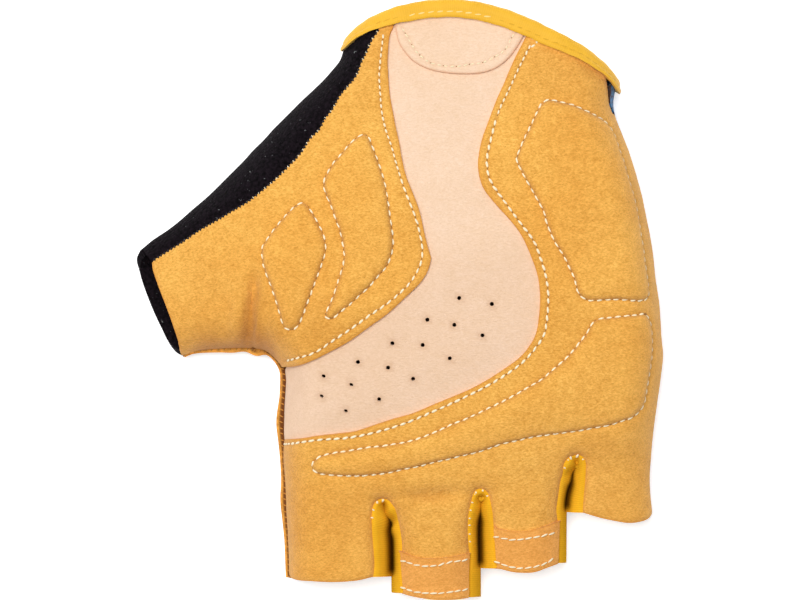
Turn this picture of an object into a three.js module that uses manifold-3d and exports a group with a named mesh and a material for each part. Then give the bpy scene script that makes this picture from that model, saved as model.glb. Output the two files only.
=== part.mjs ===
// Short-finger cycling mitt for the right hand, lying on its back with the palm up.
// Millimetres, +Z up. +Y runs from the fingertips to the wrist, and the thumb is at -X.
// The glove is one soft envelope: every piece is a patch of its wall, cut out by the piece's plan
// outline, so neighbouring patches follow the same form and keep a narrow seam gap.

import * as THREE from 'three';
import { mergeVertices } from 'three/addons/utils/BufferGeometryUtils.js';
import Module from 'manifold-3d';

const wasm = await Module();
wasm.setup();
const { lerp, smoothstep, clamp } = THREE.MathUtils;

// Wall thicknesses and seams
const SUEDE = 1.2;
const KNIT = 1.2;
const TERRY = 2.0;
const ELASTIC = 1.0;
const SEAM_GAP = 0.3;
const LAP = 2.5;
const CENTRE_DEPTH = SUEDE + SEAM_GAP;
const DEEPEST_WALL = CENTRE_DEPTH + SUEDE;
const FIN_WIDTH = 1.1;
const FIN_THICKNESS = 1.2;

// Heights above which a patch of the palm side is kept
const CENTRE_FLOOR = 5;
const FINGER_FLOOR = 6.7;
const STRIP_FLOOR = 4;
const PULL_TAB_FLOOR = 9;
const TAB_FLOOR = 10;

// Soft form of the envelope
const EDGE_BLUNT = 0.6;
const EDGE_HEIGHT = 7;
const EDGE_TILT = 0.02;
const TOP_ROUND = 9;
const BOTTOM_ROUND = 5;
const FINGER_TOP_ROUND = 8;
const PINCH_RADIUS = 5;
const ARCH = { centre: 12, halfWidth: 50, drop: 0.1 };
const THUMB_SLOPE = { start: 26, end: 68, drop: 0.36 };
const CUFF_LIFT = { height: 1.8, start: 14, end: 7 };
const BEYOND = 90;
const HIGH = 60;
const DEEP = -20;

// Where the form's points lie: rows across the palm, rows to the finger roots, columns down the thumb
const PALM_STATIONS = [84, 67, 61, 55, 47, 41.4, 37.5, 31, 20, 9, -2, -9.5, -13.2];
const CUFF_STATIONS = PALM_STATIONS.slice(0, 5);
const ROOT_SHARES = [0.02, 0.2, 0.42, 0.65, 0.85, 1];
const ROOTS_START = -14.5;
const THUMB_STATIONS = [-31.4, -37.5, -42, -49, -58, -67, -76];
const THUMB_JOIN = -32;
const RIM_STEPS = [0, 1.2, 5.5];
const TUBE_STEPS = 4;

// Height of the seam between the palm side and the back, and where it climbs at the cuff's outer corner
const PALM_SEAM = { radial: 6.4, ulnar: 3, from: -24, to: 0 };
const CORNER_CLIMB = { y: 41, slope: 0.95, from: 36, to: 47 };
const SEAM_ROWS = [-BEYOND, -20, 20, 38, 41, 45, 49, 53, 57, 62, BEYOND];
const SEAM_COLUMNS = [-BEYOND, -24, -18, -12, -6, 0, 20, 36, 40, 44, 48, BEYOND];

// Height of the palm's crown above the table, from the cuff to the finger roots
const CROWN_ROWS = [
  { y: 84, height: 17.5 },
  { y: 66, height: 19 },
  { y: 45, height: 21.5 },
  { y: 20, height: 23 },
  { y: -5, height: 23.2 },
  { y: -25, height: 21.5 },
  { y: -40, height: 19 },
  { y: -54, height: 17.6 },
];

// Folds pressed into the thumb's base, across which the glove bends
const CREASES = [
  { x: -37.5, low: -13, high: 9, depth: 1.3, width: 2.2 },
  { x: -43.5, low: -10, high: 5, depth: 0.8, width: 2.0 },
];

// Closed edges in plan, each run with the hand on its left
const RADIAL_EDGE = [
  [-12.5, 86], [-13.8, 68], [-14.4, 62.5], [-17, 57.5], [-21.8, 52.5], [-29.3, 45], [-38.9, 35],
  [-47.2, 27], [-55.2, 20], [-65.2, 12.5], [-80, 1.5],
];
const LOWER_EDGE = [
  [-82, -15], [-54, -13], [-45, -12.3], [-38, -12.1], [-34, -12.5], [-32.2, -13.8], [-30.5, -15.6],
  [-29.4, -17.2], [-29, -20], [-29.4, -30], [-29.2, -40], [-28.6, -49], [-28, -61], [-27.8, -84],
];
const ULNAR_EDGE = [
  [63.4, -60], [62.6, -45], [63.2, -35], [64.6, -25], [65.8, -15], [65.4, -8], [64.7, 0],
  [63.4, 10], [61.6, 20], [59.3, 30], [56, 40], [53.6, 48], [53, 54], [52.6, 86],
];

// Finger stubs from the index to the little finger: the three points of each end, and the left and right
// sides and crown height down the tube
const FINGERS = [
  {
    ends: { left: -69.4, tip: -70.4, right: -69.1 },
    rows: [
      { y: -41, left: -29.1, right: -4.8, height: 17.2 },
      { y: -56, left: -28.3, right: -3.1, height: 16.4 },
      { y: -78, left: -27.8, right: -2.8, height: 15.0 },
    ],
  },
  {
    ends: { left: -73.4, tip: -74.8, right: -74.3 },
    rows: [
      { y: -39, left: -3.8, right: 19.5, height: 17.8 },
      { y: -56, left: -2.2, right: 19.6, height: 16.8 },
      { y: -82, left: -1.9, right: 19.8, height: 15.4 },
    ],
  },
  {
    ends: { left: -67.2, tip: -68.1, right: -65.7 },
    rows: [
      { y: -32, left: 20.4, right: 43.9, height: 17.4 },
      { y: -40, left: 20.4, right: 43.7, height: 17.2 },
      { y: -54, left: 20.4, right: 41.3, height: 16.4 },
      { y: -76, left: 20.6, right: 41.1, height: 15.2 },
    ],
  },
  {
    ends: { left: -53.2, tip: -54.9, right: -54.0 },
    rows: [
      { y: -29, left: 44.8, right: 63.9, height: 16.0 },
      { y: -40, left: 44.6, right: 62.9, height: 15.4 },
      { y: -54, left: 42.0, right: 63.1, height: 14.4 },
      { y: -63, left: 41.9, right: 63.3, height: 14.0 },
    ],
  },
];
const CROTCHES = [[-4.2, -50.8], [20, -48], [44.2, -39.6]];
const ROOT_LINE = [[-40, -52], [-4.2, -52], [20, -49.2], [44.2, -40.9], [70, -37]];

// Plan outlines of the pieces, drawn as curves through these points
const WRIST_CURVE = [[-22, 62], [-14.6, 62.6], [-10, 69], [0, 73.5], [12.5, 75.1], [25, 73],
  [40, 66.4], [50, 60.2], [54.2, 55.4], [60, 50]];
const THENAR_EDGE = [[-2.2, 84], [-1.75, 68], [-2.9, 60], [-1.9, 47.3], [1.5, 30.8], [5.2, 20], [7.7, 10.8],
  [2.3, 1.5], [-7.8, -6.7], [-17.3, -12.7], [-24, -16], [-30, -17]];
const HEEL_EDGE = [[36, 84], [31.5, 66], [25.8, 53.8], [20.6, 40.8], [19.4, 33.8], [20.9, 27.5], [29.8, 16.8],
  [34.8, 2], [32.3, -11.5], [18, -22], [-1.3, -29.6], [-20.5, -34], [-32, -35.2]];
const TERRY_EDGE = [[-4, 84], [-5.5, 67], [-10.8, 56], [-18.8, 45], [-30.8, 30.3], [-45, 20.3], [-62, 9.6]];
const THUMB_PALM_EDGE = [[-62, 9.6], [-60.4, 3.5], [-56.5, -7], [-54.6, -14.3]];
const THUMB_BACK_EDGE = [[-65.3, 12.6], [-65.9, 10], [-63.8, 3.5], [-59.3, -7.4], [-54.8, -14.3]];
const BACK_SEAM = [[-29, -17.5], [-23.5, 10], [-12, 45], [0, 84]];
const CENTRE_LEFT = [[-45, -15.2], [-45, -37.5]];
const THUMB_ROOT = { x: -31.5, y: -18 };
const BELOW_THUMB = { left: -54.6, y: -25 };
const TAB_CURVE = [[-1.25, 68], [1, 62], [6.5, 57.8], [15.3, 56.4], [23.8, 57.8], [28.6, 62.6], [30.2, 67]];
const TAB_TOP = [[26.5, 73], [2, 73]];
const TAPE_WIDTH = 4.5;

// Foam pads: how far each swells and its stitched outline
const PAD_DETAIL = 1.4;
const PAD_STEP = 6.5;
const PAD_ROUND = 5;
const PAD_BASE = 1.1 * SUEDE;
const PADS = [
  {
    name: 'thenar_short_pad', crown: 1.5,
    outline: [[-24.3, 24.3], [-28.3, 21.3], [-32.8, 15.5], [-33.8, 7.9], [-31, 0.3], [-28.9, -6.8],
      [-26.6, -7.3], [-24.3, -3.8], [-21.5, 3.5], [-19, 10.5], [-19, 15.5], [-21.5, 21]],
  },
  {
    name: 'thenar_long_pad', crown: 1.6,
    outline: [[-9.3, 41.3], [-14.4, 36.5], [-18.6, 30], [-17, 23.3], [-13.8, 11], [-15.5, 4.3], [-18.5, -3.8],
      [-16.6, -4.6], [-9.9, 1.4], [-3.5, 8.3], [-1.8, 13.3], [-2.5, 20.6], [-4, 29.6], [-6.8, 37.8]],
  },
  {
    name: 'heel_pad', crown: 1.8,
    outline: [[35.7, 49.2], [41, 49.2], [48.3, 46.3], [53.2, 42], [58.8, 24.3], [60.8, 12.5], [62, 2],
      [60.5, 0], [46.8, 0], [44.3, 2.3], [40.8, 11], [36.4, 19.5], [29, 35], [30.8, 39.8]],
  },
  {
    name: 'palm_pad', crown: 1.8,
    outline: [[49, -4.8], [60, -3.8], [62.6, -6.5], [62.8, -13], [61.5, -22.8], [58.3, -29.1], [51.8, -31.2],
      [29, -35], [7.9, -40.5], [-3, -43], [-15.3, -43.6], [-21.6, -42.3], [-21.3, -40.2], [-4.3, -36.4],
      [4.8, -34.5], [25.8, -25.3], [35, -20], [43.4, -12.3]],
  },
];

// Elastic side walls between the fingers, each along the edge of its slot
const FOURCHETTES = [
  {
    name: 'index_middle_fourchette',
    curve: [[-6.3, -80], [-6.1, -66], [-7, -55], [-5.6, -50], [-2.4, -50], [-0.8, -55], [0.4, -66],
      [0.8, -80]],
  },
  {
    name: 'middle_ring_fourchette',
    curve: [[17.2, -82], [17.4, -67], [17.4, -55], [18.5, -47.4], [21.8, -47.4], [22.9, -54],
      [23.6, -64], [24.4, -78]],
  },
  {
    name: 'ring_little_fourchette',
    curve: [[39.6, -78], [39.6, -61], [39.6, -52], [41.3, -41.4], [44, -38.8], [46, -42], [45.5, -49],
      [45, -64]],
  },
];

// Pull tabs near two fingertips: the upper edge of each band
const PULL_TABS = [
  { name: 'middle_pull_tab', finger: 1, edge: [[0.4, -62.6], [7.5, -64.4], [17.1, -63.2]] },
  { name: 'ring_pull_tab', finger: 2, edge: [[23.3, -55.6], [30.6, -57.7], [39.4, -55.2]] },
];

// Breathing holes in the palm centre: each row's first and last hole
const HOLE_RADIUS = 0.55;
const HOLE_SIDES = 6;
const HOLE_LENGTH = 50;
const HOLE_CENTRE = 35;
const HOLE_ROWS = [
  { from: [14.8, 0.5], to: [-19.1, -19], count: 5 },
  { from: [22.8, -1], to: [-19.6, -24], count: 6 },
  { from: [20.6, -8.9], to: [-13.5, -27.8], count: 5 },
];

const SUEDE_COLOR = 0xefaf4c;
const PEACH_COLOR = 0xf8d6b5;
const KNIT_COLOR = 0x1f6fa8;
const TERRY_COLOR = 0x1c191c;
const ELASTIC_COLOR = 0xf0ba36;
const CUT_EDGE_COLOR = 0xc97b1e;

// Value of one column at a place in another, through a list of points sorted by that column
function along(points, value, from, to) {
  const rising = points[points.length - 1][from] > points[0][from];
  const ordered = rising ? points : [...points].reverse();
  let last = 1;
  while (last < ordered.length - 1 && ordered[last][from] < value) last += 1;
  const [a, b] = [ordered[last - 1], ordered[last]];
  const share = clamp((value - a[from]) / (b[from] - a[from]), 0, 1);
  return lerp(a[to], b[to], share);
}

// Distance from a point to a plan path, positive on the path's left
function signedDistance(x, y, path) {
  let best = Infinity;
  let side = 1;
  for (let i = 0; i + 1 < path.length; i += 1) {
    const [ax, ay] = path[i];
    const [bx, by] = path[i + 1];
    const reach = (x - ax) * (bx - ax) + (y - ay) * (by - ay);
    const share = clamp(reach / ((bx - ax) ** 2 + (by - ay) ** 2), 0, 1);
    const distance = Math.hypot(x - lerp(ax, bx, share), y - lerp(ay, by, share));
    if (distance < best) {
      best = distance;
      side = Math.sign((bx - ax) * (y - ay) - (by - ay) * (x - ax)) || 1;
    }
  }
  return best * side;
}

// Rise of a soft edge, 0 at the edge and 1 where the flat begins
function roundOff(distance, width) {
  const share = clamp(distance / width, 0, 1);
  return Math.sqrt(1 - (1 - share) ** 2);
}

function edgeHeight(x) {
  return EDGE_HEIGHT + EDGE_TILT * x;
}

function creaseDepth(x, y) {
  let depth = 0;
  for (const crease of CREASES) {
    const above = smoothstep(y, crease.low - 1, crease.low + 3);
    const below = 1 - smoothstep(y, crease.high - 6, crease.high);
    depth += crease.depth * above * below * Math.exp(-(((x - crease.x) / crease.width) ** 2));
  }
  return depth;
}

// Height of the palm before its edges are rounded
function crownHeight(x, y) {
  const crown = along(CROWN_ROWS.map((row) => [row.y, row.height]), y, 0, 1);
  const arch = 1 - ARCH.drop * Math.min(1, ((x - ARCH.centre) / ARCH.halfWidth) ** 2);
  const thumb = 1 - THUMB_SLOPE.drop * smoothstep(-x, THUMB_SLOPE.start, THUMB_SLOPE.end);
  return crown * arch * thumb - creaseDepth(x, y);
}

function distanceToEdges(x, y) {
  const sides = [RADIAL_EDGE, LOWER_EDGE, ULNAR_EDGE].map((edge) => signedDistance(x, y, edge));
  return Math.min(...sides);
}

function distanceToCrotch(x, y) {
  return Math.min(...CROTCHES.map((point) => Math.hypot(x - point[0], y - point[1])));
}

function handTop(x, y, inset) {
  const edge = edgeHeight(x) + EDGE_BLUNT;
  const side = roundOff(distanceToEdges(x, y) - inset, TOP_ROUND - inset);
  const pinch = lerp(0.35, 1, roundOff(distanceToCrotch(x, y) - inset, PINCH_RADIUS));
  return edge + (crownHeight(x, y) - inset - edge) * side * pinch;
}

function handBottom(x, y, inset) {
  const near = smoothstep(signedDistance(x, y, WRIST_CURVE), -CUFF_LIFT.start, -CUFF_LIFT.end);
  const lift = CUFF_LIFT.height * near;
  const edge = edgeHeight(x) - EDGE_BLUNT;
  const side = roundOff(distanceToEdges(x, y) - inset, BOTTOM_ROUND - inset);
  return lerp(edge, lift + inset, side);
}

// Closed solid over a plan grid, between a lower and an upper height
function slab(grid, top, bottom) {
  const rows = grid.length;
  const columns = grid[0].length;
  const positions = [];
  for (const height of [top, bottom]) {
    for (const [x, y] of grid.flat()) positions.push(x, y, height(x, y));
  }
  const [a, b, c] = [grid[0][0], grid[0][columns - 1], grid[rows - 1][0]];
  const turned = (b[0] - a[0]) * (c[1] - a[1]) - (b[1] - a[1]) * (c[0] - a[0]) < 0;
  const index = [];
  const quad = (p, q, r, s) => index.push(...(turned ? [p, r, q, p, s, r] : [p, q, r, p, r, s]));
  const at = (layer, row, column) => (layer * rows + row) * columns + column;
  for (let i = 0; i + 1 < rows; i += 1) {
    for (let j = 0; j + 1 < columns; j += 1) {
      quad(at(0, i, j), at(0, i, j + 1), at(0, i + 1, j + 1), at(0, i + 1, j));
      quad(at(1, i, j), at(1, i + 1, j), at(1, i + 1, j + 1), at(1, i, j + 1));
    }
    quad(at(1, i, 0), at(0, i, 0), at(0, i + 1, 0), at(1, i + 1, 0));
    quad(at(0, i, columns - 1), at(1, i, columns - 1), at(1, i + 1, columns - 1), at(0, i + 1, columns - 1));
  }
  for (let j = 0; j + 1 < columns; j += 1) {
    quad(at(0, 0, j), at(1, 0, j), at(1, 0, j + 1), at(0, 0, j + 1));
    quad(at(1, rows - 1, j), at(0, rows - 1, j), at(0, rows - 1, j + 1), at(1, rows - 1, j + 1));
  }
  return solidFrom(new Float32Array(positions), new Uint32Array(index));
}

function solidFrom(vertProperties, triVerts) {
  return new wasm.Manifold(new wasm.Mesh({ numProp: 3, vertProperties, triVerts }));
}

function solidFromGeometry(geometry) {
  geometry.deleteAttribute('normal');
  geometry.deleteAttribute('uv');
  const merged = mergeVertices(geometry);
  return solidFrom(new Float32Array(merged.attributes.position.array), new Uint32Array(merged.index.array));
}

// Upright prism over a plan outline
function prism(outline, low = DEEP, high = HIGH) {
  const shape = new THREE.Shape(outline.map(([x, y]) => new THREE.Vector2(x, y)));
  const geometry = new THREE.ExtrudeGeometry(shape, { depth: high - low, bevelEnabled: false });
  geometry.translate(0, 0, low);
  return solidFromGeometry(geometry);
}

// Smooth curve through plan points
function curve(points, divisions = points.length * 2, closed = false) {
  const spots = points.map(([x, y]) => new THREE.Vector3(x, y, 0));
  const spline = new THREE.CatmullRomCurve3(spots, closed, 'centripetal');
  const samples = spline.getPoints(divisions).map((point) => [point.x, point.y]);
  return closed ? samples.slice(0, -1) : samples;
}

// Plan path moved sideways, to its left for a positive distance
function shifted(points, distance, closed = false) {
  const count = points.length;
  return points.map(([x, y], i) => {
    const before = points[closed ? (i + count - 1) % count : Math.max(0, i - 1)];
    const after = points[closed ? (i + 1) % count : Math.min(count - 1, i + 1)];
    const [across, down] = [after[0] - before[0], after[1] - before[1]];
    const share = distance / Math.hypot(across, down);
    return [x - share * down, y + share * across];
  });
}

// Stations from one side to the other, closer together where the edges round off
function spread(low, high, inner) {
  const rim = RIM_STEPS[RIM_STEPS.length - 1];
  const place = (i) => lerp(low + rim, high - rim, (i + 1) / (inner + 1));
  const middle = Array.from({ length: inner }, (_, i) => place(i));
  const ends = RIM_STEPS.map((step) => high - step).reverse();
  return [...RIM_STEPS.map((step) => low + step), ...middle, ...ends];
}

// How much further than its wall an edge moves along one axis because it runs at a slant
function slant(path, value, from, to) {
  const slope = (along(path, value + 1, from, to) - along(path, value - 1, from, to)) / 2;
  return Math.hypot(1, slope);
}

function leftSide(y, inset) {
  const join = along(RADIAL_EDGE, THUMB_JOIN, 0, 1);
  if (y > along(LOWER_EDGE.slice(0, 6), THUMB_JOIN, 0, 1) + inset && y < join) return THUMB_JOIN;
  const edge = y > 0 ? RADIAL_EDGE : LOWER_EDGE.slice(5);
  const side = along(edge, y, 1, 0) + inset * slant(edge, y, 1, 0);
  return y > 0 ? Math.max(THUMB_JOIN, side) : side;
}

function rightSide(y, inset) {
  return along(ULNAR_EDGE, y, 1, 0) - inset * slant(ULNAR_EDGE, y, 1, 0);
}

// One row of the palm's points from the radial to the ulnar side
function palmRow(y, inset) {
  return spread(leftSide(y, inset), rightSide(y, inset), 5).map((x) => [x, y]);
}

function palmGrid(inset) {
  const grid = PALM_STATIONS.map((y) => palmRow(y, inset));
  for (const share of ROOT_SHARES) {
    const rootY = (x) => lerp(ROOTS_START, along(ROOT_LINE, x, 0, 1) + inset, share);
    const left = leftSide(rootY(-30), inset);
    const right = rightSide(rootY(64), inset);
    grid.push(spread(left, right, 5).map((x) => [x, rootY(x)]));
  }
  return grid;
}

function thumbGrid(inset) {
  return THUMB_STATIONS.map((x) => {
    const low = along(LOWER_EDGE.slice(0, 7), x, 0, 1) + inset;
    const high = along(RADIAL_EDGE, x, 0, 1) - inset * slant(RADIAL_EDGE, x, 0, 1);
    return spread(low, high, 2).map((y) => [x, y]);
  });
}

function fingerSide(finger, y, column) {
  return along(finger.rows.map((row) => [row.y, row[column]]), y, 0, 1);
}

// One finger tube, open at both ends once the smaller tube is taken out of the larger
function fingerTube(finger, inset) {
  const first = finger.rows[0].y;
  const last = finger.rows[finger.rows.length - 1].y;
  const grid = [];
  for (let i = 0; i <= TUBE_STEPS; i += 1) {
    const y = lerp(first, last, i / TUBE_STEPS);
    const low = fingerSide(finger, y, 'left') + inset;
    const high = fingerSide(finger, y, 'right') - inset;
    grid.push(spread(low, high, 1).map((x) => [x, y]));
  }
  const inside = (x, y) => {
    const left = x - fingerSide(finger, y, 'left');
    const right = fingerSide(finger, y, 'right') - x;
    return Math.min(left, right) - inset;
  };
  const top = (x, y) => {
    const edge = edgeHeight(x) + EDGE_BLUNT;
    const crown = fingerSide(finger, y, 'height') - inset;
    return edge + (crown - edge) * roundOff(inside(x, y), FINGER_TOP_ROUND - inset);
  };
  const bottom = (x, y) => {
    const side = roundOff(inside(x, y), BOTTOM_ROUND - inset);
    return lerp(edgeHeight(x) - EDGE_BLUNT, inset, side);
  };
  return slab(grid, top, bottom);
}

// The whole soft form, every surface moved inwards by the inset
function envelope(inset) {
  const top = (x, y) => handTop(x, y, inset);
  const bottom = (x, y) => handBottom(x, y, inset);
  let body = slab(palmGrid(inset), top, bottom).add(slab(thumbGrid(inset), top, bottom));
  for (const finger of FINGERS) body = body.add(fingerTube(finger, inset));
  return body;
}

function cuffEnvelope(inset) {
  const grid = CUFF_STATIONS.map((y) => palmRow(y, inset));
  return slab(grid, (x, y) => handTop(x, y, inset), (x, y) => handBottom(x, y, inset));
}

// Height of the seam between the palm side and the back: at the edge by the thumb and index finger,
// under the rounded side by the little finger, and climbing at the outer corner of the cuff
function seamHeight(x, y) {
  const across = smoothstep(x, PALM_SEAM.from, PALM_SEAM.to);
  const corner = smoothstep(x, CORNER_CLIMB.from, CORNER_CLIMB.to);
  const climb = Math.max(0, y - CORNER_CLIMB.y) * CORNER_CLIMB.slope * corner;
  return lerp(PALM_SEAM.radial, PALM_SEAM.ulnar, across) + climb;
}

function seamSlab(low, high) {
  const grid = SEAM_ROWS.map((y) => SEAM_COLUMNS.map((x) => [x, y]));
  return slab(grid, high, low);
}

const palmSide = seamSlab((x, y) => seamHeight(x, y) + SEAM_GAP / 2, () => HIGH);
const backSide = seamSlab(() => DEEP, (x, y) => seamHeight(x, y) - SEAM_GAP / 2);

// Everything between the cuff's edge, kept back for its tape, and the ends of the fingers
function gloveArea() {
  const cuff = shifted(curve(WRIST_CURVE, 18), -(ELASTIC + SEAM_GAP));
  const outline = [[-BEYOND, 40], ...cuff, [BEYOND, 40]];
  for (const finger of [...FINGERS].reverse()) {
    const { ends } = finger;
    const left = fingerSide(finger, ends.tip, 'left');
    const right = fingerSide(finger, ends.tip, 'right');
    outline.push([right + SEAM_GAP, ends.right], [(left + right) / 2, ends.tip]);
    outline.push([left - SEAM_GAP, ends.left]);
  }
  outline.push([-BEYOND, FINGERS[0].ends.left]);
  return prism(outline.reverse());
}

const outer = envelope(0);
const glove = gloveArea();
const suedeWall = outer.subtract(envelope(SUEDE)).intersect(glove);
const palmWall = suedeWall.intersect(palmSide);

function padOutline(pad, gap) {
  return shifted(curve(pad.outline, Math.round(pad.outline.length * PAD_DETAIL), true), gap, true);
}

function outlineSign(outline) {
  let area = 0;
  outline.forEach(([x, y], i) => {
    const [nextX, nextY] = outline[(i + 1) % outline.length];
    area += x * nextY - nextX * y;
  });
  return Math.sign(area);
}

// Foam under suede, sewn down all round: level with its panel at the stitching and crowned inside it
function padSolid(pad) {
  const inward = outlineSign(pad.outline);
  const rim = padOutline(pad, (inward * SEAM_GAP) / 2);
  const across = rim.map(([x]) => x);
  const down = rim.map(([, y]) => y);
  const steps = (values) => {
    const low = Math.min(...values) - 1;
    const high = Math.max(...values) + 1;
    const count = Math.ceil((high - low) / PAD_STEP);
    return Array.from({ length: count + 1 }, (_, i) => lerp(low, high, i / count));
  };
  const xs = steps(across);
  const grid = steps(down).map((y) => xs.map((x) => [x, y]));
  const closed = [...rim, rim[0]];
  const cushion = (x, y) => pad.crown * roundOff(inward * signedDistance(x, y, closed), PAD_ROUND);
  const top = (x, y) => handTop(x, y, 0) + cushion(x, y);
  const bottom = (x, y) => handTop(x, y, 0) - PAD_BASE;
  return slab(grid, top, bottom).intersect(prism(rim));
}

function padHoles(names) {
  const pads = PADS.filter((pad) => names.includes(pad.name));
  return pads.map((pad) => prism(padOutline(pad, (-outlineSign(pad.outline) * SEAM_GAP) / 2)));
}

function thenarPanel() {
  const edge = shifted(curve(THENAR_EDGE, 22), -SEAM_GAP / 2);
  const outline = [...shifted(curve(TERRY_EDGE, 12), SEAM_GAP / 2), ...curve(THUMB_PALM_EDGE, 8).slice(1),
    [BELOW_THUMB.left, BELOW_THUMB.y], [THUMB_ROOT.x, BELOW_THUMB.y], [THUMB_ROOT.x, THUMB_ROOT.y],
    ...edge.reverse()];
  let panel = palmWall.intersect(prism(outline));
  for (const hole of padHoles(['thenar_short_pad', 'thenar_long_pad'])) panel = panel.subtract(hole);
  return panel;
}

function fourchetteArea(fourchette, gap, top = HIGH) {
  return prism(shifted(curve(fourchette.curve, 16), gap), DEEP, top);
}

function fingerPanel() {
  const edge = shifted(curve(HEEL_EDGE, 24), SEAM_GAP / 2);
  const outline = [...edge, [-BEYOND, -35.2], [-BEYOND, -BEYOND], [BEYOND, -BEYOND], [BEYOND, 84]];
  let panel = palmWall.intersect(prism(outline));
  for (const hole of padHoles(['heel_pad', 'palm_pad'])) panel = panel.subtract(hole);
  for (const fourchette of FOURCHETTES) {
    panel = panel.subtract(fourchetteArea(fourchette, SEAM_GAP / 2));
    panel = panel.subtract(fourchetteArea(fourchette, BOTTOM_ROUND, FINGER_FLOOR));
  }
  return panel;
}

// Lower layer between the two overlays, running under both edges by the seam's lap
function palmCentre() {
  const wall = envelope(CENTRE_DEPTH).subtract(envelope(DEEPEST_WALL)).intersect(glove).intersect(palmSide);
  const thenar = shifted(curve(THENAR_EDGE, 22), -LAP);
  const heel = shifted(curve(HEEL_EDGE, 24), LAP);
  const outline = [...thenar, ...CENTRE_LEFT, ...heel.reverse()];
  let panel = wall.intersect(prism(outline, CENTRE_FLOOR));
  for (const hole of breathingHoles()) panel = panel.subtract(hole);
  return panel;
}

function breathingHoles() {
  const holes = [];
  for (const row of HOLE_ROWS) {
    for (let i = 0; i < row.count; i += 1) {
      const share = i / (row.count - 1);
      const [x, y] = [lerp(row.from[0], row.to[0], share), lerp(row.from[1], row.to[1], share)];
      const geometry = new THREE.CylinderGeometry(HOLE_RADIUS, HOLE_RADIUS, HOLE_LENGTH, HOLE_SIDES);
      geometry.rotateX(Math.PI / 2);
      geometry.translate(x, y, HOLE_CENTRE);
      holes.push(solidFromGeometry(geometry));
    }
  }
  return holes;
}

function fourchetteSolid(fourchette) {
  return palmWall.intersect(fourchetteArea(fourchette, -SEAM_GAP / 2));
}

// Towelling along the thumb's back: a strip of the palm side, round the edge and under the thumb
function thumbTerry() {
  const wall = outer.subtract(envelope(TERRY)).intersect(glove);
  const strip = shifted(curve(TERRY_EDGE, 12), -SEAM_GAP / 2);
  const opening = curve(THUMB_BACK_EDGE, 10);
  const away = [[-BEYOND, 20], [-BEYOND, 84]];
  const above = prism([...strip, ...opening.slice(0, 2).reverse(), ...away], STRIP_FLOOR);
  const seam = shifted(curve(BACK_SEAM, 6), SEAM_GAP / 2);
  const under = prism([...away.reverse(), ...opening, [BELOW_THUMB.left, BELOW_THUMB.y],
    [THUMB_ROOT.x, BELOW_THUMB.y], [THUMB_ROOT.x, THUMB_ROOT.y], ...seam]);
  return wall.intersect(above.add(under.intersect(backSide)));
}

function backPanel() {
  const wall = outer.subtract(envelope(KNIT)).intersect(glove).intersect(backSide);
  const seam = shifted(curve(BACK_SEAM, 6), -SEAM_GAP / 2);
  const left = THUMB_ROOT.x + SEAM_GAP;
  const around = [[BEYOND, 84], [BEYOND, -BEYOND], [left, -BEYOND]];
  return wall.intersect(prism([[left, THUMB_ROOT.y], ...seam, ...around]));
}

// Half-moon patch on the palm centre, its upper edge caught under the cuff tape
function wristTab() {
  const wall = envelope(SEAM_GAP / 2).subtract(envelope(CENTRE_DEPTH - SEAM_GAP)).intersect(glove);
  return wall.intersect(prism([...curve(TAB_CURVE, 14), ...TAB_TOP], TAB_FLOOR));
}

// Tape folded over the cuff's edge, all round the wrist
function wristBinding() {
  const rim = curve(WRIST_CURVE, 18);
  const band = prism([...rim, ...shifted(rim, -TAPE_WIDTH).reverse()]);
  const lip = prism([...rim, ...shifted(rim, -ELASTIC).reverse()]);
  const inside = cuffEnvelope(DEEPEST_WALL + SEAM_GAP + ELASTIC);
  const around = cuffEnvelope(-(SEAM_GAP + ELASTIC));
  const outerLeg = around.subtract(cuffEnvelope(-SEAM_GAP)).intersect(band);
  const innerLeg = cuffEnvelope(DEEPEST_WALL + SEAM_GAP).subtract(inside).intersect(band);
  return outerLeg.add(innerLeg).add(around.subtract(inside).intersect(lip));
}

function pullTab(tab) {
  const finger = FINGERS[tab.finger];
  const cover = fingerTube(finger, -(SEAM_GAP + ELASTIC)).subtract(fingerTube(finger, -SEAM_GAP));
  const [left, right] = [tab.edge[0][0], tab.edge[tab.edge.length - 1][0]];
  const outline = [...curve(tab.edge, 8), [right, -BEYOND], [left, -BEYOND]];
  return cover.intersect(prism(outline, PULL_TAB_FLOOR)).intersect(glove);
}

// Cut edges of a seam that stand out along a side, like a narrow fin
function seamFin(path) {
  const grid = [shifted(path, SEAM_GAP), shifted(path, -(SEAM_GAP + FIN_WIDTH))];
  const top = (x) => edgeHeight(x) + FIN_THICKNESS / 2;
  const bottom = (x) => edgeHeight(x) - FIN_THICKNESS / 2;
  return slab(grid, top, bottom).subtract(envelope(-SEAM_GAP));
}

function geometryFrom(solid) {
  const mesh = solid.getMesh();
  const geometry = new THREE.BufferGeometry();
  geometry.setAttribute('position', new THREE.BufferAttribute(mesh.vertProperties, 3));
  geometry.setIndex(new THREE.BufferAttribute(mesh.triVerts, 1));
  geometry.computeVertexNormals();
  return geometry;
}

function piece(name, solid, color, roughness) {
  const material = new THREE.MeshStandardMaterial({ color, roughness, metalness: 0 });
  const mesh = new THREE.Mesh(geometryFrom(solid), material);
  mesh.name = name;
  return mesh;
}

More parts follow.
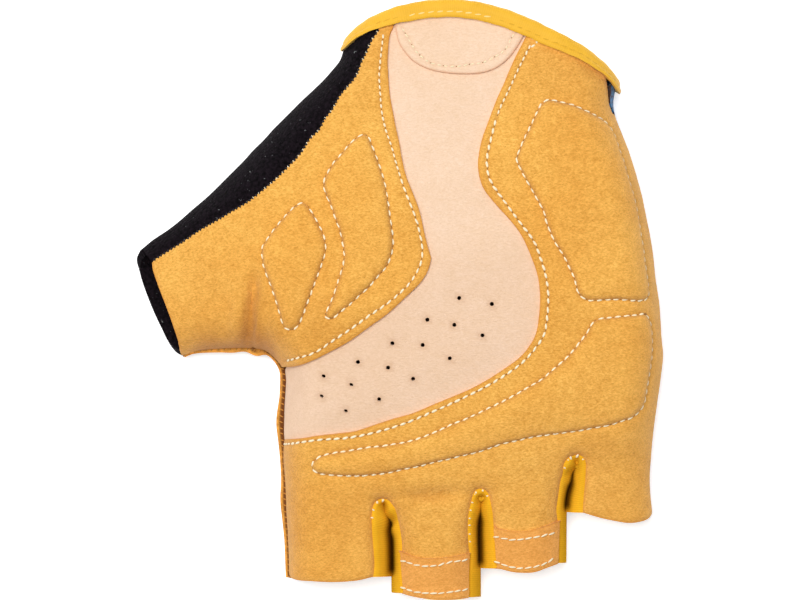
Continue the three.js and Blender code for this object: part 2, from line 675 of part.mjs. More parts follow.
const mitt = new THREE.Group();
mitt.add(piece('palm_centre', palmCentre(), PEACH_COLOR, 0.9));
mitt.add(piece('thenar_panel', thenarPanel(), SUEDE_COLOR, 0.9));
mitt.add(piece('finger_panel', fingerPanel(), SUEDE_COLOR, 0.9));
for (const pad of PADS) mitt.add(piece(pad.name, padSolid(pad), SUEDE_COLOR, 0.9));
mitt.add(piece('wrist_tab', wristTab(), PEACH_COLOR, 0.9));
mitt.add(piece('wrist_binding', wristBinding(), ELASTIC_COLOR, 0.75));
mitt.add(piece('back_panel', backPanel(), KNIT_COLOR, 0.85));
mitt.add(piece('thumb_terry', thumbTerry(), TERRY_COLOR, 1));
for (const fourchette of FOURCHETTES) {
  mitt.add(piece(fourchette.name, fourchetteSolid(fourchette), ELASTIC_COLOR, 0.75));
}
for (const tab of PULL_TABS) mitt.add(piece(tab.name, pullTab(tab), SUEDE_COLOR, 0.9));
const thumbSide = LOWER_EDGE.slice(1, 9);
const indexSide = [...LOWER_EDGE.slice(9, 13), [-27.9, -69.2]];
mitt.add(piece('thumb_seam_allowance', seamFin(thumbSide), CUT_EDGE_COLOR, 0.95));
mitt.add(piece('index_seam_allowance', seamFin(indexSide), CUT_EDGE_COLOR, 0.95));

export default mitt;
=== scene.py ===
"""Short-finger cycling mitt for the right hand, lying on its back with the palm up.

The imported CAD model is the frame. Every piece here follows one soft form, SoftForm, and is laid out
flat before it is rolled on to that form. Plan tables are in millimetres as the photograph shows them
from above; +X points to the little finger, +Y to the wrist and +Z out of the palm.
"""

import logging
import math
import random
from collections.abc import Callable, Sequence
from dataclasses import dataclass
from enum import Enum
from functools import cache

import bmesh
import bpy
import numpy as np
from mathutils import Matrix, Vector
from mathutils.kdtree import KDTree


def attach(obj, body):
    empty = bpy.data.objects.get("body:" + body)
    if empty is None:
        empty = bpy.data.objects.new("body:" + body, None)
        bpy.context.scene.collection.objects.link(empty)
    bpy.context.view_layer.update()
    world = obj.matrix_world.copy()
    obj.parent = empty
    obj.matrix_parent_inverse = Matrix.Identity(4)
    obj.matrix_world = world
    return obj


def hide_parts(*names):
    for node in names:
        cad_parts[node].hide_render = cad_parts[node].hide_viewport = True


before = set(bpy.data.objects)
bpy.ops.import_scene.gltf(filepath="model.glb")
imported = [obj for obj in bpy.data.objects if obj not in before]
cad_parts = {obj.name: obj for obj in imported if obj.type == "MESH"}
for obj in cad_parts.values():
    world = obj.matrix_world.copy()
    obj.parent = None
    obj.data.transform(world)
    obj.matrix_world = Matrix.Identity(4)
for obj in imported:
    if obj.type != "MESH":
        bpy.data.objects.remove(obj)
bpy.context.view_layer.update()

MM = 0.001
# Place along the glove and height of the crown there.
CROWN_ROWS = (
    (84, 17.5), (66, 19), (45, 21.5), (20, 23), (-5, 23.2), (-25, 21.5), (-40, 19), (-54, 17.6), (-90, 15.5),
)
# Each fold's place across, where it starts and ends, its depth and its width.
THUMB_FOLDS = (
    (-37.3, -13.0, 9.0, 2.0, 1.3), (-40.8, -13.0, 3.0, -0.5, 1.4), (-44.0, -10.0, 5.0, 0.7, 1.8),
    (-33.6, -13.0, 2.0, 0.9, 1.6),
)
# Painted shade over all the suede, before the patches deepen or lessen it.
SHADE_BASE = 0.12
# Patches of painted shade, a negative change painting light: each patch's centre, its reach across and along,
# and its change of tone.
SHADE_PATCHES = (
    (-24.0, 24.0, 20.0, 20.0, -0.14), (36.0, 28.0, 10.0, 22.0, -0.1), (-20.0, -7.0, 11.0, 8.0, 0.22),
    (-49.0, 0.0, 12.0, 10.0, 0.1), (55.0, -42.0, 18.0, 18.0, 0.16), (-26.5, -50.0, 4.0, 26.0, 0.44),
    (45.0, 56.0, 13.0, 8.0, 0.14), (8.0, -57.0, 30.0, 9.0, 0.08), (61.0, 0.0, 6.0, 24.0, 0.12),
    (-8.0, 54.0, 5.0, 8.0, 0.1), (-50.0, -10.0, 10.0, 5.0, 0.2),
)
THUMB_CREASE = ((-36.2, -5.2), (-36.6, -7.4), (-36.9, -9.6), (-36.8, -12.4))
BACK_SEAM = ((-29, -17.5), (-23.5, 10), (-12, 45), (-3.5, 72))
RADIAL_SIDE = (
    (-14.2, 62.5), (-15, 60), (-17, 57.5), (-19.2, 55), (-21.8, 52.5), (-24.5, 50), (-27, 47.5), (-29.5, 45),
    (-32, 42.5), (-34.2, 40), (-36.8, 37.5), (-39, 35), (-41.5, 32.5), (-44, 30), (-46.5, 27.5), (-49.2, 25),
    (-52.2, 22.5), (-55, 20), (-58.2, 17.5), (-62, 15), (-65, 12.5),
)
LOWER_SIDE = (
    (-54.6, -14.2), (-52.5, -13.2), (-49.8, -12.6), (-45, -12.2), (-39.5, -12), (-36.8, -12.2), (-34, -12.5),
    (-32.2, -13.8), (-30.5, -15.5), (-29.5, -17), (-29, -19.5), (-29.1, -22.5), (-29.4, -27.5),
    (-29.5, -33.5), (-29.2, -36.2), (-29.2, -40.2), (-28.8, -45), (-28.6, -49.2), (-28.5, -52.5),
    (-28.2, -56.8), (-28, -61.2), (-27.8, -66.5), (-27.8, -69.5),
)
ULNAR_SIDE = (
    (63.2, -53.8), (62.8, -50), (62.5, -45), (62.8, -40), (63.2, -35), (63.8, -30), (64.5, -25), (65.2, -20),
    (65.8, -15), (65.8, -12.5), (65.5, -10), (65.2, -5), (64.8, 0), (64, 5), (63.5, 10), (62.8, 15),
    (61.8, 20), (60.8, 25), (60.2, 27.5), (59.5, 30), (58.8, 32.5), (58, 35), (57.2, 37.5), (56.2, 40),
    (55.2, 42.5), (54.2, 45), (53.5, 47.5), (53.4, 50), (53.2, 52.5),
)
CUFF_LINE = (
    (-13, 65.9), (-11.8, 67.5), (-10, 69.2), (-7.5, 70.5), (-5, 71.8), (-2.5, 72.8), (0, 73.5), (5, 74.5),
    (10, 75), (15, 75), (20, 74.2), (25, 73), (30, 71.2), (35, 69), (40, 66.5), (45, 64), (50, 60.2),
    (52.5, 57.8), (54.4, 55.2), (54.9, 53),
)
CORNER_SUEDE = ((53.6, 46.4), (52.6, 49), (52.2, 52), (51.8, 55))
TERRY_EDGE = (
    (-5.5, 67), (-7.2, 64.5), (-8.2, 62), (-9.8, 58.8), (-10.8, 56), (-12.5, 53.8), (-15, 50.8),
    (-16.8, 47.5), (-18.8, 45), (-20, 42.5), (-22.5, 40), (-24.5, 36.8), (-27.5, 33.5), (-30.8, 30.2),
    (-34, 27.5), (-37.8, 24.5), (-41.2, 22.5), (-45, 20.2), (-49.8, 17.5), (-54.2, 14.5), (-57.9, 12.2),
    (-62, 9.6),
)
THUMB_PALM_EDGE = (
    (-62, 9.5), (-61.9, 7.9), (-60.4, 3.5), (-58.1, -2.5), (-56.5, -7), (-55.2, -11), (-54.6, -14.2),
)
THUMB_BACK_EDGE = (
    (-65.3, 12.5), (-66.7, 10), (-66.2, 7.4), (-64.9, 3), (-62.6, -3), (-60.3, -7.9), (-58.6, -11.4),
    (-56.6, -13.8), (-54.8, -14.4),
)
THUMB_SILHOUETTE = (
    (-54.5, -14.2), (-52.5, -13.5), (-49.8, -13.2), (-45.2, -13.1), (-42.2, -13.2), (-40, -12.8),
    (-38.5, -13), (-37, -13.9), (-35.5, -13.8), (-34, -13.5), (-32.8, -14), (-31.2, -15.8), (-30.2, -17.8),
    (-30, -20), (-30.2, -24.8),
)
INDEX_SILHOUETTE = (
    (-30.2, -24.2), (-31, -30), (-30.5, -35), (-30, -40), (-29.8, -45), (-30, -50), (-29.5, -55), (-29, -60),
    (-28.8, -65), (-28.6, -69.5),
)
THENAR_EDGE = (
    (-1.8, 68), (-2.6, 66.2), (-2.9, 63), (-3.1, 59), (-2.9, 54.8), (-2.6, 51), (-1.9, 47.2), (-1.1, 43.2),
    (-0.2, 39.2), (0.5, 35), (1.5, 30.8), (2.8, 27.5), (4.8, 22.2), (6.2, 16), (7.5, 11.2), (7.8, 10.8),
    (7, 7.5), (5.2, 4.5), (2.2, 1.5), (-3.2, -3.5), (-7.8, -6.8), (-12.5, -10.2), (-17.2, -12.8),
    (-22, -15.2), (-26.2, -16.6), (-29, -16.9),
)
HEEL_EDGE = (
    (31.5, 66), (30.5, 64), (28.7, 60.5), (27.2, 57.2), (25.8, 53.8), (24.5, 51), (23, 47.2), (21.8, 44),
    (20.6, 40.8), (19.8, 37.5), (19.4, 33.8), (19.8, 30.5), (20.9, 27.5), (22.8, 25), (25, 22.5),
    (27.5, 19.8), (29.8, 16.8), (31.5, 13.5), (33, 9.8), (34.2, 6.2), (34.8, 2), (34.8, -1.5), (34.5, -4.8),
    (33.8, -8.5), (32.2, -11.5), (29.8, -14.4), (26, -17.2), (22, -19.8), (18, -22), (13, -24.2),
    (8.2, -26.2), (3.5, -28.2), (-1.2, -29.6), (-6.2, -31.2), (-11, -32.8), (-15.8, -33.5), (-20.5, -34),
    (-25.4, -34.7), (-29.2, -34.9),
)
THENAR_STITCHES = (
    (-4.2, 66.2), (-4.8, 60.5), (-5.2, 55.8), (-4.9, 51), (-4.5, 46.6), (-3.5, 42.2), (-2.2, 38.5),
    (-1, 34.2), (0.2, 30.2), (1.5, 26.5), (4, 20), (5.4, 14.2), (5.5, 10.8), (4.8, 8.2), (3, 5), (0.8, 2.5),
    (-3.2, -0.9), (-7.8, -4), (-12.2, -7.2), (-16.5, -10), (-21, -13), (-25.5, -14.5), (-29, -15.4),
)
HEEL_STITCHES = (
    (32.5, 63.5), (30.5, 59.6), (29.1, 56.8), (27.8, 53.8), (26.2, 50.5), (24.8, 47.5), (23.8, 44.8),
    (22.9, 41.2), (22, 37.5), (21.6, 34.5), (22, 31), (23.5, 27.9), (26, 24.5), (28.6, 20.9), (31.2, 17.5),
    (33.5, 14.2), (35, 10.2), (36.2, 6.2), (36.8, 2), (36.8, -1.5), (36.4, -5.8), (35.7, -8.9), (33.5, -12.2),
    (30.5, -15.5), (27.2, -18), (22, -21.2), (15.5, -24.5), (8.2, -27.8), (1, -30.8), (-6.2, -33),
    (-13.4, -34.4), (-20.5, -34.9), (-26.8, -35.8), (-29.2, -36.1),
)
PAD_A = (
    (-24.2, 24.2), (-26.2, 23.2), (-28.2, 21.2), (-30.5, 18.6), (-32.8, 15.5), (-34.3, 13.2), (-34.3, 11),
    (-33.8, 7.9), (-32.2, 3.8), (-31, 0.2), (-29.8, -3.8), (-29, -6.5), (-27.8, -7.4), (-26.8, -7.4),
    (-25.5, -6.5), (-24.2, -3.8), (-22.9, -0.2), (-21.5, 3.5), (-20.2, 7), (-19, 10.5), (-18.5, 12.8),
    (-19, 16), (-20.2, 18.6), (-21.5, 21), (-23.1, 23.5),
)
PAD_B = (
    (-9.2, 41.2), (-12.2, 39.1), (-14.3, 36.5), (-16.2, 34.5), (-18, 31.6), (-18.9, 29.5), (-18.9, 28),
    (-18.2, 25.8), (-17, 23.2), (-16, 20.2), (-14.8, 17), (-14, 12.8), (-13.8, 10.5), (-14.3, 7.9),
    (-15.5, 4.2), (-16.6, 0.8), (-17.8, -2), (-18.6, -3.8), (-17.8, -4.7), (-16.8, -4.6), (-14.8, -2.9),
    (-12.1, -0.7), (-9.9, 1.4), (-7.6, 3.4), (-5.8, 5.7), (-3.5, 8.2), (-2.5, 10.5), (-1.8, 13.2),
    (-1.9, 16.5), (-2.5, 20.6), (-3.1, 25.1), (-4, 29.6), (-5.4, 34.1), (-6.8, 37.8), (-7.8, 40.4),
)
PAD_C = (
    (35.7, 49.2), (37.1, 49.8), (40, 49.2), (43, 48.5), (46, 47.2), (48.2, 46.2), (50.8, 44.8), (52.2, 43.4),
    (53.2, 42), (53.9, 40.5), (54.8, 37.5), (55.9, 34.5), (56.8, 31.2), (57.8, 27.9), (58.8, 24.2),
    (59.5, 20.5), (60.2, 16), (60.8, 12.5), (61.2, 8.8), (61.8, 5), (62.1, 2), (61.8, 0.6), (60.8, 0),
    (58.5, -0.1), (54, 0.2), (49.2, 0), (46.8, 0), (45.2, 0.8), (44.2, 2.2), (43.4, 5.5), (42.2, 8),
    (40.8, 11), (38.5, 14.6), (36.4, 19.5), (36, 21.6), (34.2, 25), (32.2, 28.6), (30.2, 32.2), (29, 35),
    (29.4, 36.4), (30.8, 39.8), (32.2, 42.6), (33.8, 46), (35, 48.5),
)
PAD_D = (
    (49.2, -4.8), (51.8, -4.5), (55.5, -4.1), (59.2, -3.8), (61, -3.5), (62.3, -5.2), (62.8, -8),
    (62.9, -12.2), (62.6, -15.8), (62, -19.5), (61.5, -22.8), (60.8, -26.2), (59.5, -27.8), (58.2, -29.1),
    (55.5, -30), (51.8, -31.2), (48.2, -31.8), (44.5, -32.5), (40.8, -33), (37.1, -33.5), (32.8, -34.1),
    (29, -35), (25.2, -35.8), (22.4, -36.8), (18.8, -38), (15, -38.8), (12.4, -39.5), (7.9, -40.5),
    (4.2, -41.5), (0.8, -42.1), (-3, -43), (-6.8, -43.5), (-10.8, -43.8), (-15.2, -43.7), (-18.5, -43.4),
    (-20.2, -43.2), (-21.5, -42.5), (-22, -41.2), (-21.5, -40.2), (-20.2, -39.2), (-18, -38.5), (-15.2, -38),
    (-12, -37.5), (-8.2, -36.8), (-4.2, -36.4), (-1.8, -36), (1.2, -35.5), (4.8, -34.5), (9.8, -32.5),
    (13, -31), (17, -29.4), (22, -27), (25.8, -25.2), (29.8, -23), (32.5, -21.4), (35, -20), (38.5, -17),
    (41.5, -14.4), (43.4, -12.2), (45.2, -10), (46.8, -7.8), (47.6, -6.2), (48.5, -5.2),
)
TAB_EDGE = (
    (-1.2, 67.8), (-0.5, 64.5), (1, 62), (3.2, 59.6), (6.5, 57.8), (10.4, 56.8), (15.2, 56.4), (20, 56.6),
    (23.8, 57.8), (26.8, 60.1), (28.9, 62.8), (30.5, 65.4),
)
TAB_STITCHES = (
    (0.5, 67.8), (1.5, 66.1), (2.8, 63.8), (4.1, 61.8), (5.5, 60.5), (7.5, 59.1), (10, 58.5), (12.5, 58.2),
    (15.2, 58.3), (17.5, 58.8), (20.5, 59.1), (23.4, 60.5), (26, 62.2), (27.5, 64.8), (28.9, 67),
)
HOLES = (
    (14.8, 0.5), (6.8, -5), (-2, -10.9), (-10.5, -15.5), (-19.1, -19), (22.8, -1), (13.5, -6.2), (5.6, -11.2),
    (-3, -16.9), (-12.2, -21.2), (-19.6, -24), (20.6, -8.8), (12.4, -14.6), (3.2, -19.8), (-5.2, -24.9),
    (-13.5, -27.8),
)
INDEX_END = (
    (-27.8, -69.5), (-26, -70), (-22, -70.2), (-17.2, -70.4), (-12.6, -70.2), (-9.5, -69.8), (-7.5, -69.3),
    (-6.4, -69.1),
)
MIDDLE_END = ((0.8, -73.2), (2.8, -73.8), (6, -74.4), (9.2, -74.8), (13.8, -74.7), (17.3, -74.2))
RING_END = ((24, -67), (25.5, -67.1), (28, -67.8), (31.5, -68), (33.8, -67.8), (36.4, -66.8), (39.5, -65.7))
LITTLE_END = (
    (41.8, -53.5), (43, -53.1), (45.5, -53.1), (50, -54.4), (53.8, -55.2), (57.4, -55.7), (61, -55.2),
    (62.9, -54.4), (63.2, -53.8),
)
CROTCH_1 = (
    (-6.4, -69.1), (-6, -66.2), (-6.2, -63.2), (-6.5, -60), (-6.8, -56.8), (-7, -55), (-6.8, -53),
    (-6.5, -51.8), (-5.9, -50.8), (-5, -50.1), (-4.1, -50), (-3.2, -50.2), (-2.4, -51.4), (-1.5, -53),
    (-1, -55), (-0.5, -57.2), (-0.1, -60), (0, -62.6), (0.1, -65.8), (0.3, -69.2), (0.8, -73.2),
)
CROTCH_2 = (
    (17.3, -74.2), (17.3, -67.8), (17.8, -64.8), (17.9, -63.2), (17.5, -60.4), (17.4, -55), (17.7, -52.4),
    (18, -50.5), (18.5, -49), (19.1, -48), (20, -47.4), (21, -47.8), (21.8, -48.8), (22.2, -50.8),
    (22.6, -53), (22.8, -55.2), (23.1, -58.2), (23.5, -61.2), (23.6, -64.5), (24, -67),
)
CROTCH_3 = (
    (39.5, -65.7), (39.6, -61.2), (39.8, -57.5), (39.9, -55.5), (39.5, -52.4), (39.9, -49.8), (40.2, -47.5),
    (40.4, -45.2), (40.8, -43), (41.2, -41.2), (41.8, -40), (42.8, -39.2), (44, -38.8), (45, -39),
    (45.8, -40.2), (45.9, -42.5), (45.8, -45.2), (45.5, -48.5), (45.2, -53.1),
)
SLOT_1 = (
    (-4.1, -51.2), (-3.6, -52.6), (-2.9, -54.2), (-2.3, -56.2), (-2, -60), (-1.9, -65), (-1.9, -69.2),
    (-1.9, -85),
)
SLOT_2 = ((20.3, -49.3), (20.1, -54), (19.9, -57), (19.9, -62), (20, -68.8), (20, -85))
SLOT_3 = (
    (44.1, -41), (43.6, -43), (43.1, -45), (42.3, -47), (41.7, -49.5), (41.5, -53.2), (41.4, -65.8),
    (41.3, -85),
)
BAND_M = ((0, -62.5), (1.5, -63), (3.8, -64), (7.5, -64.4), (12.4, -64), (17.3, -63.1))
BAND_M_UPPER = (
    (0.8, -64.9), (2, -65.2), (3.8, -65.8), (5.8, -66.2), (9.2, -66), (12.4, -65.2), (15, -64.9),
    (17.2, -64.5),
)
BAND_M_LOWER = ((0.8, -71.5), (2.1, -72), (3.8, -72.6), (6.5, -73), (10.1, -73), (13.2, -72.6), (16.8, -72))
BAND_R = ((23, -55.5), (24.2, -56.8), (27.5, -57.5), (30.7, -57.7), (33.8, -57.1), (37, -56), (39.8, -55))
BAND_R_UPPER = (
    (23.8, -58.8), (25.5, -59.2), (28, -59.7), (30.7, -59.5), (33.8, -59), (36.4, -58.4), (39.1, -57.8),
)
BAND_R_LOWER = (
    (23.9, -65), (25.5, -65.7), (27.5, -66.4), (30.2, -66.8), (32.9, -66.5), (35.1, -66), (37, -64.9),
    (39, -63.8),
)
KNIT_REACH = 2.2
# Places across the glove, and the height of the fingers' crown there.
FINGER_CROWNS = ((-16, 8, 32, 54), (17.2, 17.8, 17.2, 15.6))
# Places across the glove, and how far along it the fingers' roots are there.
FINGER_ROOTS = ((-40, -4.2, 20, 44.2, 70), (-52, -52, -49.2, -40.9, -37))
# Places along the glove, and how far past the side seam the knit reaches there.
KNIT_CLIMB = (
    (-53.0, 40.0, 44.0, 46.4, 49.0, 52.0, 55.0), (KNIT_REACH, KNIT_REACH, 0.8, -0.4, -2.6, -2.9, -3.3),
)
# Where the knit's right and left edge of each slot ends, from the little finger on.
KNIT_ENDS = ((-52.6, -65.2), (-65.6, -73.2), (-73.2, -68.6))
# The tape's section on top and below: reach towards the cuff's edge, and rise.
TAPE_TOP = ((-3.0, 1.12), (-2.5, 0.95), (-2.0, 1.12), (-1.3, 1.25), (-0.4, 1.12), (0.35, 0.7))
TAPE_UNDER = ((0.4, -2.9), (-0.6, -3.8))
BAND_M_LEFT = ((1.4, -73.2), (1.0, -69.2), (0.8, -65.8), (0.6, -62.8))
BAND_M_RIGHT = ((16.9, -63.1), (16.7, -68), (16.8, -74.2))
BAND_R_LEFT = ((24.6, -67), (24.3, -64.5), (24.1, -61.2), (23.6, -55.8))
BAND_R_RIGHT = ((39.3, -55), (39.1, -61.2), (39, -65.7))
# The folds of each fourchette, as Fourchette says.
FOLDS = (
    (
        (20.5, 1.2, 0.1, 0.9, -0.4), (23.5, 1.2, 0.1, 0.9, 0.5), (26.4, 1.2, 0.2, 1.0, -0.5),
        (29.0, 1.4, 0.3, 1.0, 0.5),
    ),
    ((24.0, 1.2, 0.1, 0.9, -0.35), (27.0, 1.0, 0.1, 0.9, 0.3), (30.0, 1.2, 0.1, 1.0, -0.35)),
    (
        (22.0, 1.3, 0.1, 1.0, -0.6), (25.0, 1.2, 0.1, 0.9, 0.4), (28.0, 1.2, 0.1, 1.0, -0.6),
        (31.0, 1.3, 0.4, 1.0, 0.4),
    ),
)
THENAR_LINE = ((-0.9, 71.6), *THENAR_EDGE)
HEEL_LINE = ((33.2, 69.0), *HEEL_EDGE)
TERRY_LINE = ((-4.6, 70.2), *TERRY_EDGE)
TINY = 1e-12
SHARP_ANGLE = 55

Array = np.ndarray
Points = Sequence[tuple[float, float]]
Mesh = bmesh.types.BMesh
Socket = bpy.types.NodeSocket
Colour = tuple[float, float, float, float]
Value = float | Colour | bpy.types.NodeSocket

log = logging.getLogger("mitt")


class Side(Enum):
    """The two faces of the mitt as it lies: the palm above and the back below."""

    PALM = 1
    BACK = -1


class Slot(Enum):
    """The record's material slots."""

    MUSTARD = "mustard_suede"
    PEACH = "peach_suede"
    TAN = "tan_suede"
    CUT_EDGE = "cut_edge"
    ELASTIC = "yellow_elastic"
    TERRY = "black_terry"
    KNIT = "blue_knit"


def arc_of(line: Array) -> Array:
    """Length along a polyline up to each of its points."""
    return np.concatenate([[0.0], np.cumsum(np.linalg.norm(np.diff(line, axis=0), axis=1))])


def read_at(spots: Array | float, base: Array, values: Array) -> Array:
    """Reads numbers or points, given along a base, at some spots between them.

    Args:
        spots: Places along the base.
        base: The place of each value.
        values: A number or a point for each place.

    Returns:
        The value at every spot.
    """
    if values.ndim == 1:
        return np.interp(spots, base, values)
    return np.stack([np.interp(spots, base, column) for column in values.T], axis=-1)


def resample(line: Array, step: float) -> Array:
    """Spreads points about a step apart along a polyline, both ends kept."""
    arc = arc_of(line)
    return read_at(np.linspace(0.0, arc[-1], max(2, int(round(arc[-1] / step)) + 1)), arc, line)


def evened(line: Array, closed: bool) -> Array:
    """Evens small wobbles out once.

    Args:
        line: Points in a row; a closed line repeats its first point at the end.
        closed: Whether it is closed.

    Returns:
        The evened points.
    """
    if closed:
        core = line[:-1]
        core = (np.roll(core, 1, 0) + 2 * core + np.roll(core, -1, 0)) / 4
        return np.vstack([core, core[:1]])
    return np.vstack([line[:1], (line[:-2] + 2 * line[1:-1] + line[2:]) / 4, line[-1:]])


def smooth(points: Points | Array, step: float = 0.5, closed: bool = False, relax: int = 3) -> Array:
    """Draws a smooth curve through plan points.

    Args:
        points: The points, in millimetres.
        step: Distance between the curve's own points.
        closed: Whether the last point joins the first.
        relax: Passes that even out small wobbles.

    Returns:
        The curve's points; a closed curve repeats its first point at the end.
    """
    p = np.array(points, float)
    p = np.vstack([p[-1:], p, p[:2]] if closed else [2 * p[:1] - p[1:2], p, 2 * p[-1:] - p[-2:-1]])
    t = np.linspace(0.0, 1.0, 9)[:-1, None]
    spans = [
        0.5 * (2 * b + (c - a) * t + (2 * a - 5 * b + 4 * c - d) * t**2 + (3 * b - a - 3 * c + d) * t**3)
        for a, b, c, d in zip(p[:-3], p[1:-2], p[2:-1], p[3:])
    ]
    line = resample(np.vstack([*spans, p[-2:-1]]), step)
    for _ in range(relax):
        line = evened(line, closed)
    return line


def smoothstep(value: Array, low: float, high: float) -> Array:
    """Rises smoothly from 0 at low to 1 at high."""
    share = np.clip((value - low) / (high - low), 0.0, 1.0)
    return share * share * (3 - 2 * share)


def window(value: Array, rise: tuple[float, float], fall: tuple[float, float]) -> Array:
    """Rises smoothly from 0 to 1 over one stretch and falls to 0 again over another."""
    return smoothstep(value, *rise) * (1 - smoothstep(value, *fall))


def bell(distance: Array, width: float) -> Array:
    """Falls smoothly from 1 at no distance to about a third at the width, and on towards 0."""
    return np.exp(-((distance / width) ** 2))


def half_round(share: Array) -> Array:
    """Rises from 0 at 0 to 1 at 1 like a quarter of a circle."""
    return np.sqrt(1 - (1 - np.clip(share, 0.0, 1.0)) ** 2)


def unit(rows: Array, guard: float = 0.0) -> Array:
    """Every row scaled to length 1; a guard keeps rows without a length finite."""
    return rows / (np.linalg.norm(rows, axis=1)[:, None] + guard)


def moved_aside(line: Array, distance: Array | float) -> Array:
    """Moves a plan line sideways, to its left for a positive distance."""
    along = unit(np.gradient(line, axis=0), TINY)
    return line + np.stack([-along[:, 1], along[:, 0]], axis=1) * np.reshape(distance, (-1, 1))


def part_of(line: Array, low: float, high: float) -> Array:
    """The points of a line whose place along the glove lies between two values."""
    return line[(line[:, 1] > low) & (line[:, 1] < high)]


def points_inside(spots: Array, ring: Array) -> Array:
    """Tells which plan points lie inside a closed line.

    Args:
        spots: Plan points.
        ring: The line, first point repeated at the end.

    Returns:
        A mask.
    """
    inside = np.zeros(len(spots), bool)
    x, y = spots.T
    for (ax, ay), (bx, by) in zip(ring[:-1], ring[1:]):
        crosses = (ay > y) != (by > y)
        inside ^= crosses & (x < ax + (y - ay) * (bx - ax) / ((by - ay) or TINY))
    return inside


def plan_tree(points: Array) -> KDTree:
    """Sorts plan points into a tree for quick search.

    Args:
        points: The points, one a row.

    Returns:
        The tree.
    """
    tree = KDTree(len(points))
    for i, (x, y) in enumerate(points.tolist()):
        tree.insert((x, y, 0.0), i)
    tree.balance()
    return tree


@dataclass
class Located:
    """Where some points lie beside a line: distance, side, foot on the line and place along it."""

    distance: Array
    side: Array
    foot: Array
    arc: Array

    @property
    def signed(self) -> Array:
        """Distance to the line's left."""
        return self.distance * self.side


class PlanLine:
    """A plan line that many points can be measured against."""

    def __init__(self, points: Array) -> None:
        """Keeps a line and sorts its points for quick search.

        Args:
            points: The line's points, close together.
        """
        self.points = points
        self.arc = arc_of(points)
        self.tree = plan_tree(points)

    def locate(self, spots: Array) -> Located:
        """Finds the nearest place on the line for every spot.

        Args:
            spots: Plan points, one a row.

        Returns:
            The distances, sides (1 on the left), feet and arc lengths.
        """
        found = np.array([self.tree.find((x, y, 0.0))[1] for x, y in spots.tolist()], int)
        count = len(spots)
        at = Located(np.full(count, np.inf), np.ones(count), np.zeros_like(spots), np.zeros(count))
        for start in (found - 1, found):
            i = np.clip(start, 0, len(self.points) - 2)
            a = self.points[i]
            ab = self.points[i + 1] - a
            length2 = np.maximum((ab**2).sum(1), TINY)
            share = np.clip(((spots - a) * ab).sum(1) / length2, 0.0, 1.0)
            near = a + ab * share[:, None]
            distance = np.linalg.norm(spots - near, axis=1)
            better = distance < at.distance
            at.distance = np.where(better, distance, at.distance)
            at.foot[better] = near[better]
            cross = ab[:, 0] * (spots[:, 1] - a[:, 1]) - ab[:, 1] * (spots[:, 0] - a[:, 0])
            at.side = np.where(better, np.where(cross < 0, -1.0, 1.0), at.side)
            at.arc = np.where(better, self.arc[i] + share * np.sqrt(length2), at.arc)
        return at


class Distances:
    """Quick distances from plan points to a set of lines."""

    def __init__(self, *lines: Array) -> None:
        """Sorts the lines' points for quick search."""
        self.tree = plan_tree(np.vstack([resample(line, 0.2) for line in lines]))

    def to(self, spots: Array) -> Array:
        """Distance of every spot from the nearest line."""
        return np.array([self.tree.find((x, y, 0.0))[2] for x, y in spots.tolist()])


@dataclass
class Near:
    """The closed edge nearest to some plan points, and how the form rounds off there."""

    distance: Array
    inward: Array
    rounding: Array
    rise: Array


